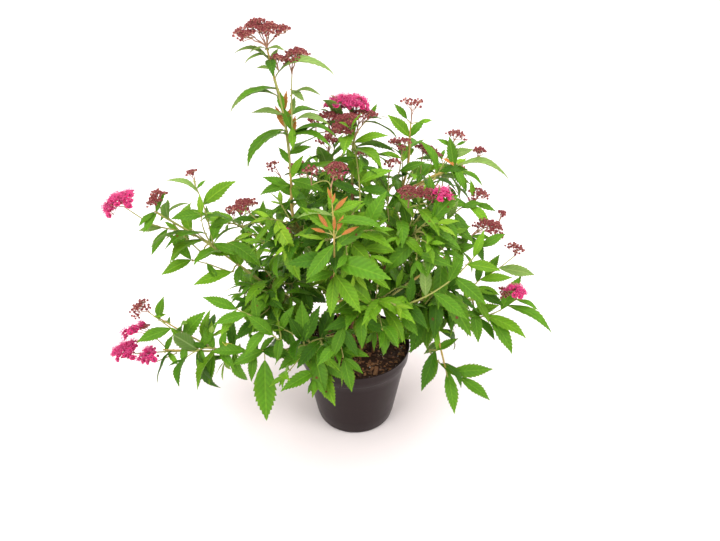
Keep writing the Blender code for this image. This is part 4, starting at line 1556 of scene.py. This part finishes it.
def pot_profile(rim_radius, height):
    """Outer and inner outline of the moulded pot, as (radius, height) pairs in millimetres."""
    foot, corner, lip, step, flare, wall = 46.0, 5.0, 15.0, 2.6, 1.2, 1.2
    below = rim_radius - flare - step
    profile = [(0.0, 1.2), (foot - 9.0, 1.2), (foot - 8.0, 0.0), (foot - corner, 0.0)]
    for angle in np.radians((20, 45, 70, 90)):
        profile.append((foot - corner + corner * math.sin(angle), corner - corner * math.cos(angle)))
    for share in np.linspace(0.12, 1.0, 9):
        profile.append((foot + (below - foot) * share, (height - lip - 1.5) * share))
    profile += [
        (below + 0.5, height - lip - 0.7),
        (rim_radius - flare - 0.5, height - lip - 0.35),
        (rim_radius - flare, height - lip + 0.3),
        (rim_radius - flare * 0.5, height - lip / 2),
        (rim_radius - 0.15, height - 1.2),
        (rim_radius, height - 0.6),
        (rim_radius - 0.25, height - 0.15),
        (rim_radius - 0.7, height),
        (rim_radius - wall, height - 0.2),
        (rim_radius - wall - 0.3, height - 0.9),
        (rim_radius - wall - flare, height - lip),
        (below - wall, height - lip - 3.0),
        (foot - wall, corner),
        (foot - corner, 2.0),
        (0.0, 2.0),
    ]
    return profile


def turned_heap(profile, segments, wobble):
    """A turned shape with its own unique map; wobble moves each point a little off true."""
    heap = Heap()
    profile = np.array(profile) * MM
    travelled = distances(profile)
    travelled = travelled / travelled[-1] * (1 - 2 * POT_MAP_INSET) + POT_MAP_INSET
    places = [(0.0, 0.0, profile[0][1])]
    for radius, height in profile[1:-1]:
        for angle in math.tau * np.arange(segments) / segments:
            places.append(wobble(radius, angle, height))
    places.append((0.0, 0.0, profile[-1][1]))
    last = len(places) - 1
    base = last - segments
    triangles, maps = [], []
    for side in range(segments):
        after = (side + 1) % segments
        left, right = side / segments, (side + 1) / segments
        triangles += [(0, 1 + after, 1 + side), (base + side, base + after, last)]
        maps.append(((left, travelled[0]), (right, travelled[1]), (left, travelled[1])))
        maps.append(((left, travelled[-2]), (right, travelled[-2]), (left, travelled[-1])))
    heap.add(places, ring_quads(travelled[1:-1], segments, 1), (triangles, maps))
    return heap


def pot_material(name, colour):
    """Dark moulded plastic with a satin skin, faint flow marks and dusty scuffs."""
    look = Look(name)
    place, _, _ = look.map()
    flow = look.noise(look.stretched(place, (3.0, 40.0, 1.0)), 2.0, 3.0)
    dust = look.noise(place, 26.0, 6.0, 0.7)
    body = look.mix(flow.under(0.35, 0.65) * 0.3, colour, tinted(colour, 1.35))
    body = look.mix((1.0 - dust.under(0.60, 0.78)) * 0.35, body, POT_DUST)
    return look.finish(body, dust * 0.22 + 0.24, 0.16, dust, 0.12, 0.0004)


class SPIREA_OT_pot(bpy.types.Operator):
    """Moulds the nursery pot, its rim a little out of true"""

    bl_idname = "spirea.build_pot"
    bl_label = "Pot"

    def execute(self, context):
        low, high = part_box("pot")
        rim, height = (high.x - low.x) / 2 / MM, high.z / MM

        def wobble(radius, angle, level):
            share = max(0.0, level / (height * MM) - 0.5) * 2
            radius *= 1 + RIM_OVAL * share * math.sin(2 * angle + 0.6)
            lift = RIM_LIFT * share * math.cos(angle - 0.3)
            return radius * math.cos(angle), radius * math.sin(angle), level + lift

        heap = turned_heap(pot_profile(rim, height), 96, wobble)
        material = pot_material("moulded_pot", tuple(context.scene.spirea_colours.pot))
        seat(heap.build("nursery_pot", material, 40), "pot_plastic", "pot")
        return {"FINISHED"}


def compost_material(name, colour):
    """Moist compost with crumbs and darker lumps."""
    look = Look(name)
    place, _, _ = look.map()
    crumbs = look.noise(place, 60.0, 8.0, 0.7)
    body = look.mix(crumbs.under(0.40, 0.62), tinted(colour, 2.3), tinted(colour, 0.6))
    body = look.mix(look.cells(place, 44.0).under(0.0, 0.35) * 0.5, body, colour)
    return look.finish(body, crumbs * 0.25 + 0.68, 0.25, crumbs, 0.8, 0.0012)


def chip_material(name, dark, light):
    """Bark chips: each lies in its own strip of the map, and takes its tint from that."""
    look = Look(name)
    place, across, _ = look.map()
    strip = (across * float(GRAIN_STRIPS)).calc("FLOOR") / (GRAIN_STRIPS - 1.0)
    grain = look.noise(look.stretched(place, (60.0, 6.0, 1.0)), 1.5, 4.0)
    body = look.mix(strip, dark, light)
    body = look.mix(grain.under(0.35, 0.6) * 0.55, body, dark)
    return look.finish(body, grain * 0.3 + 0.6, 0.5, grain, 0.5, 0.0004)


def scatter_grains(heap, random, radius, level, count, outermost, sizes, strips):
    """Loose chips or grains on the compost, each a jittered block in its own strip of the map."""
    block = np.array([(x, y, z) for x in (-1, 1) for y in (-1, 1) for z in (-1, 1)], float)
    corners = np.array(((0.1, 0.1), (0.9, 0.1), (0.9, 0.9), (0.1, 0.9)))
    for _ in range(count):
        reach = radius * outermost * math.sqrt(random.uniform(0.0, 1.0))
        angle = random.uniform(0, math.tau)
        half = np.array([random.uniform(*pair) for pair in sizes]) / 2
        jitter = block * half * random.uniform(0.55, 1.15, (8, 3))
        turn, tip = random.uniform(0, math.tau), random.normal(0, 0.30)
        cosine, sine = math.cos(turn), math.sin(turn)
        spun = jitter @ np.array(((cosine, sine, 0.0), (-sine, cosine, 0.0), (0.0, 0.0, 1.0)))
        spun[:, 2] += jitter[:, 0] * math.tan(tip)
        place = np.array((reach * math.cos(angle), reach * math.sin(angle), level(reach, angle)))
        maps = (corners + (random.integers(strips), 0.0)) / (GRAIN_STRIPS, 1.0)
        heap.add(spun + place, (BLOCK_FACES, np.repeat(maps[None], 6, axis=0)))


class SPIREA_OT_compost(bpy.types.Operator):
    """Fills the pot with rough compost, bark chips and white grains"""

    bl_idname = "spirea.build_compost"
    bl_label = "Compost"

    def execute(self, context):
        low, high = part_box("compost")
        radius, top = (high.x - low.x) / 2, high.z
        random = np.random.default_rng(21)
        waves = []
        for _ in range(COMPOST_WAVES):
            pitch = random.uniform(*COMPOST_PITCHES)
            waves.append((pitch, random.uniform(0, math.tau), random.uniform(0, math.tau)))

        def level(reach, angle):
            rise = 0.0
            for pitch, heading, phase in waves:
                rise += COMPOST_SWELL / pitch * math.sin(pitch * reach * math.cos(angle - heading) + phase)
            return top - COMPOST_SUNK + rise

        foot = max(
            math.hypot(vertex.co.x, vertex.co.y)
            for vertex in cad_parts["compost"].data.vertices
            if vertex.co.z < low.z + 0.001
        )
        rings, segments = 26, 72
        turns = math.tau * np.arange(segments) / segments
        places = [(0.0, 0.0, level(0.0, 0.0))]
        for reach in radius * np.arange(1, rings + 1) / rings:
            for turn in turns:
                places.append((reach * math.cos(turn), reach * math.sin(turn), level(reach, turn)))
        base = len(places)
        places += [(foot * math.cos(turn), foot * math.sin(turn), low.z) for turn in turns]
        places.append((0.0, 0.0, low.z))
        places = np.array(places)
        quads, triangles = [], []
        for side in range(segments):
            after = (side + 1) % segments
            triangles += [(0, 1 + side, 1 + after), (base + segments, base + after, base + side)]
            for start in range(1, base, segments):
                outer = start + segments
                quads.append((start + side, outer + side, outer + after, start + after))
        soil = Heap()
        maps = places[:, :2] / radius * 0.49 + 0.5
        soil.add(places, *((faces, maps[np.array(faces)]) for faces in (quads, triangles)))
        material = compost_material("bark_compost", tuple(context.scene.spirea_colours.compost))
        seat(soil.build("compost_fill", material, 60), "compost", "compost")
        chips, specks = Heap(), Heap()
        for heap, kind in ((chips, CHIPS), (chips, BIG_CHIPS), (specks, SPECKS)):
            scatter_grains(heap, random, radius, level, *kind)
        seat(chips.build("bark_chips", chip_material("bark_chip", *CHIP_COLOURS), 30), "compost")
        seat(specks.build("white_grains", chip_material("white_grain", *SPECK_COLOURS), 30), "compost")
        return {"FINISHED"}


class SPIREA_OT_stage(bpy.types.Operator):
    """Sets up the pale floor with a painted shadow round the pot, the soft studio light and the camera"""

    bl_idname = "spirea.build_stage"
    bl_label = "Floor, light and camera"

    def execute(self, context):
        scene = context.scene
        scene.view_settings.view_transform = "Standard"
        rows = [(depth, 0.0) for depth in FLOOR_DEPTHS]
        for angle in np.radians((30, 60, 90)):
            rise = COVE_RADIUS * (1 - math.cos(angle))
            rows.append((FLOOR_DEPTHS[-1] + COVE_RADIUS * math.sin(angle), rise))
        rows.append((FLOOR_DEPTHS[-1] + COVE_RADIUS, WALL_TOP))
        places = [(x, y, z) for y, z in rows for x in (-FLOOR_SIDE, FLOOR_SIDE)]
        quads = [(2 * row, 2 * row + 1, 2 * row + 3, 2 * row + 2) for row in range(len(rows) - 1)]
        floor = Heap()
        floor.add(places, (quads, [((0, 0), (1, 0), (1, 1), (0, 1))] * len(quads)))
        look = Look("studio_paper")
        place = look.node("ShaderNodeTexCoord", "Object")
        floor_colour = look.mix(look.noise(place, 1.2), (0.95, 0.88, 0.88), (0.98, 0.92, 0.92))
        reach = look.node("ShaderNodeVectorMath", "Value", {0: place}, operation="LENGTH")
        # Painted shadow: the floor darkens towards the pot's foot and fades out by 0.4 m
        floor_colour = look.mix(reach.under(0.05, 0.40), floor_colour, PAINTED_SHADOW_BY_THE_POT)
        look.feed(look.shader.inputs["Base Color"], floor_colour)
        look.feed(look.shader.inputs["Roughness"], 0.9)
        floor.build("studio_floor", look.material)

        scene.world = bpy.data.worlds.new("studio_air")
        scene.world.use_nodes = True
        air = scene.world.node_tree.nodes["Background"]
        air.inputs["Color"].default_value = AIR_COLOUR
        air.inputs["Strength"].default_value = 1.0
        for name, place, size, energy in LIGHTS:
            light = bpy.data.lights.new(name, "AREA")
            light.shape = "DISK"
            light.size = size
            light.energy = energy
            lamp = bpy.data.objects.new(name, light)
            lamp.location = place
            aim = Vector(LIGHT_TARGET) - Vector(place)
            lamp.rotation_euler = aim.to_track_quat("-Z", "Y").to_euler()
            scene.collection.objects.link(lamp)

        lens = bpy.data.cameras.new("front_camera")
        lens.sensor_width = SENSOR_WIDTH
        lens.lens = FOCAL_PIXELS * SENSOR_WIDTH / IMAGE_WIDTH
        lens.clip_start = 0.01
        camera = bpy.data.objects.new("front_camera", lens)
        camera.location = EYE
        camera.rotation_euler = (math.radians(90.0 - EYE_PITCH), 0.0, 0.0)
        scene.collection.objects.link(camera)
        scene.camera = camera
        return {"FINISHED"}


class SPIREA_PT_panel(bpy.types.Panel):
    """Lists the steps that build the plant"""

    bl_idname = "SPIREA_PT_panel"
    bl_label = "Spirea shrub"
    bl_space_type = "VIEW_3D"
    bl_region_type = "UI"
    bl_category = "Spirea"

    def draw(self, context):
        for step in STEPS:
            self.layout.operator(f"spirea.build_{step}")


CLASSES = (
    PlantSettings,
    ColourSettings,
    SPIREA_OT_pot,
    SPIREA_OT_compost,
    SPIREA_OT_stems,
    SPIREA_OT_leaves,
    SPIREA_OT_heads,
    SPIREA_OT_stage,
    SPIREA_PT_panel,
)


def register():
    for item in CLASSES:
        bpy.utils.register_class(item)
    bpy.types.Scene.spirea_plant = PointerProperty(type=PlantSettings)
    bpy.types.Scene.spirea_colours = PointerProperty(type=ColourSettings)


def unregister():
    del bpy.types.Scene.spirea_colours
    del bpy.types.Scene.spirea_plant
    for item in reversed(CLASSES):
        bpy.utils.unregister_class(item)


def main():
    register()
    for step in STEPS:
        getattr(bpy.ops.spirea, f"build_{step}")()


if __name__ == "__main__":
    main()
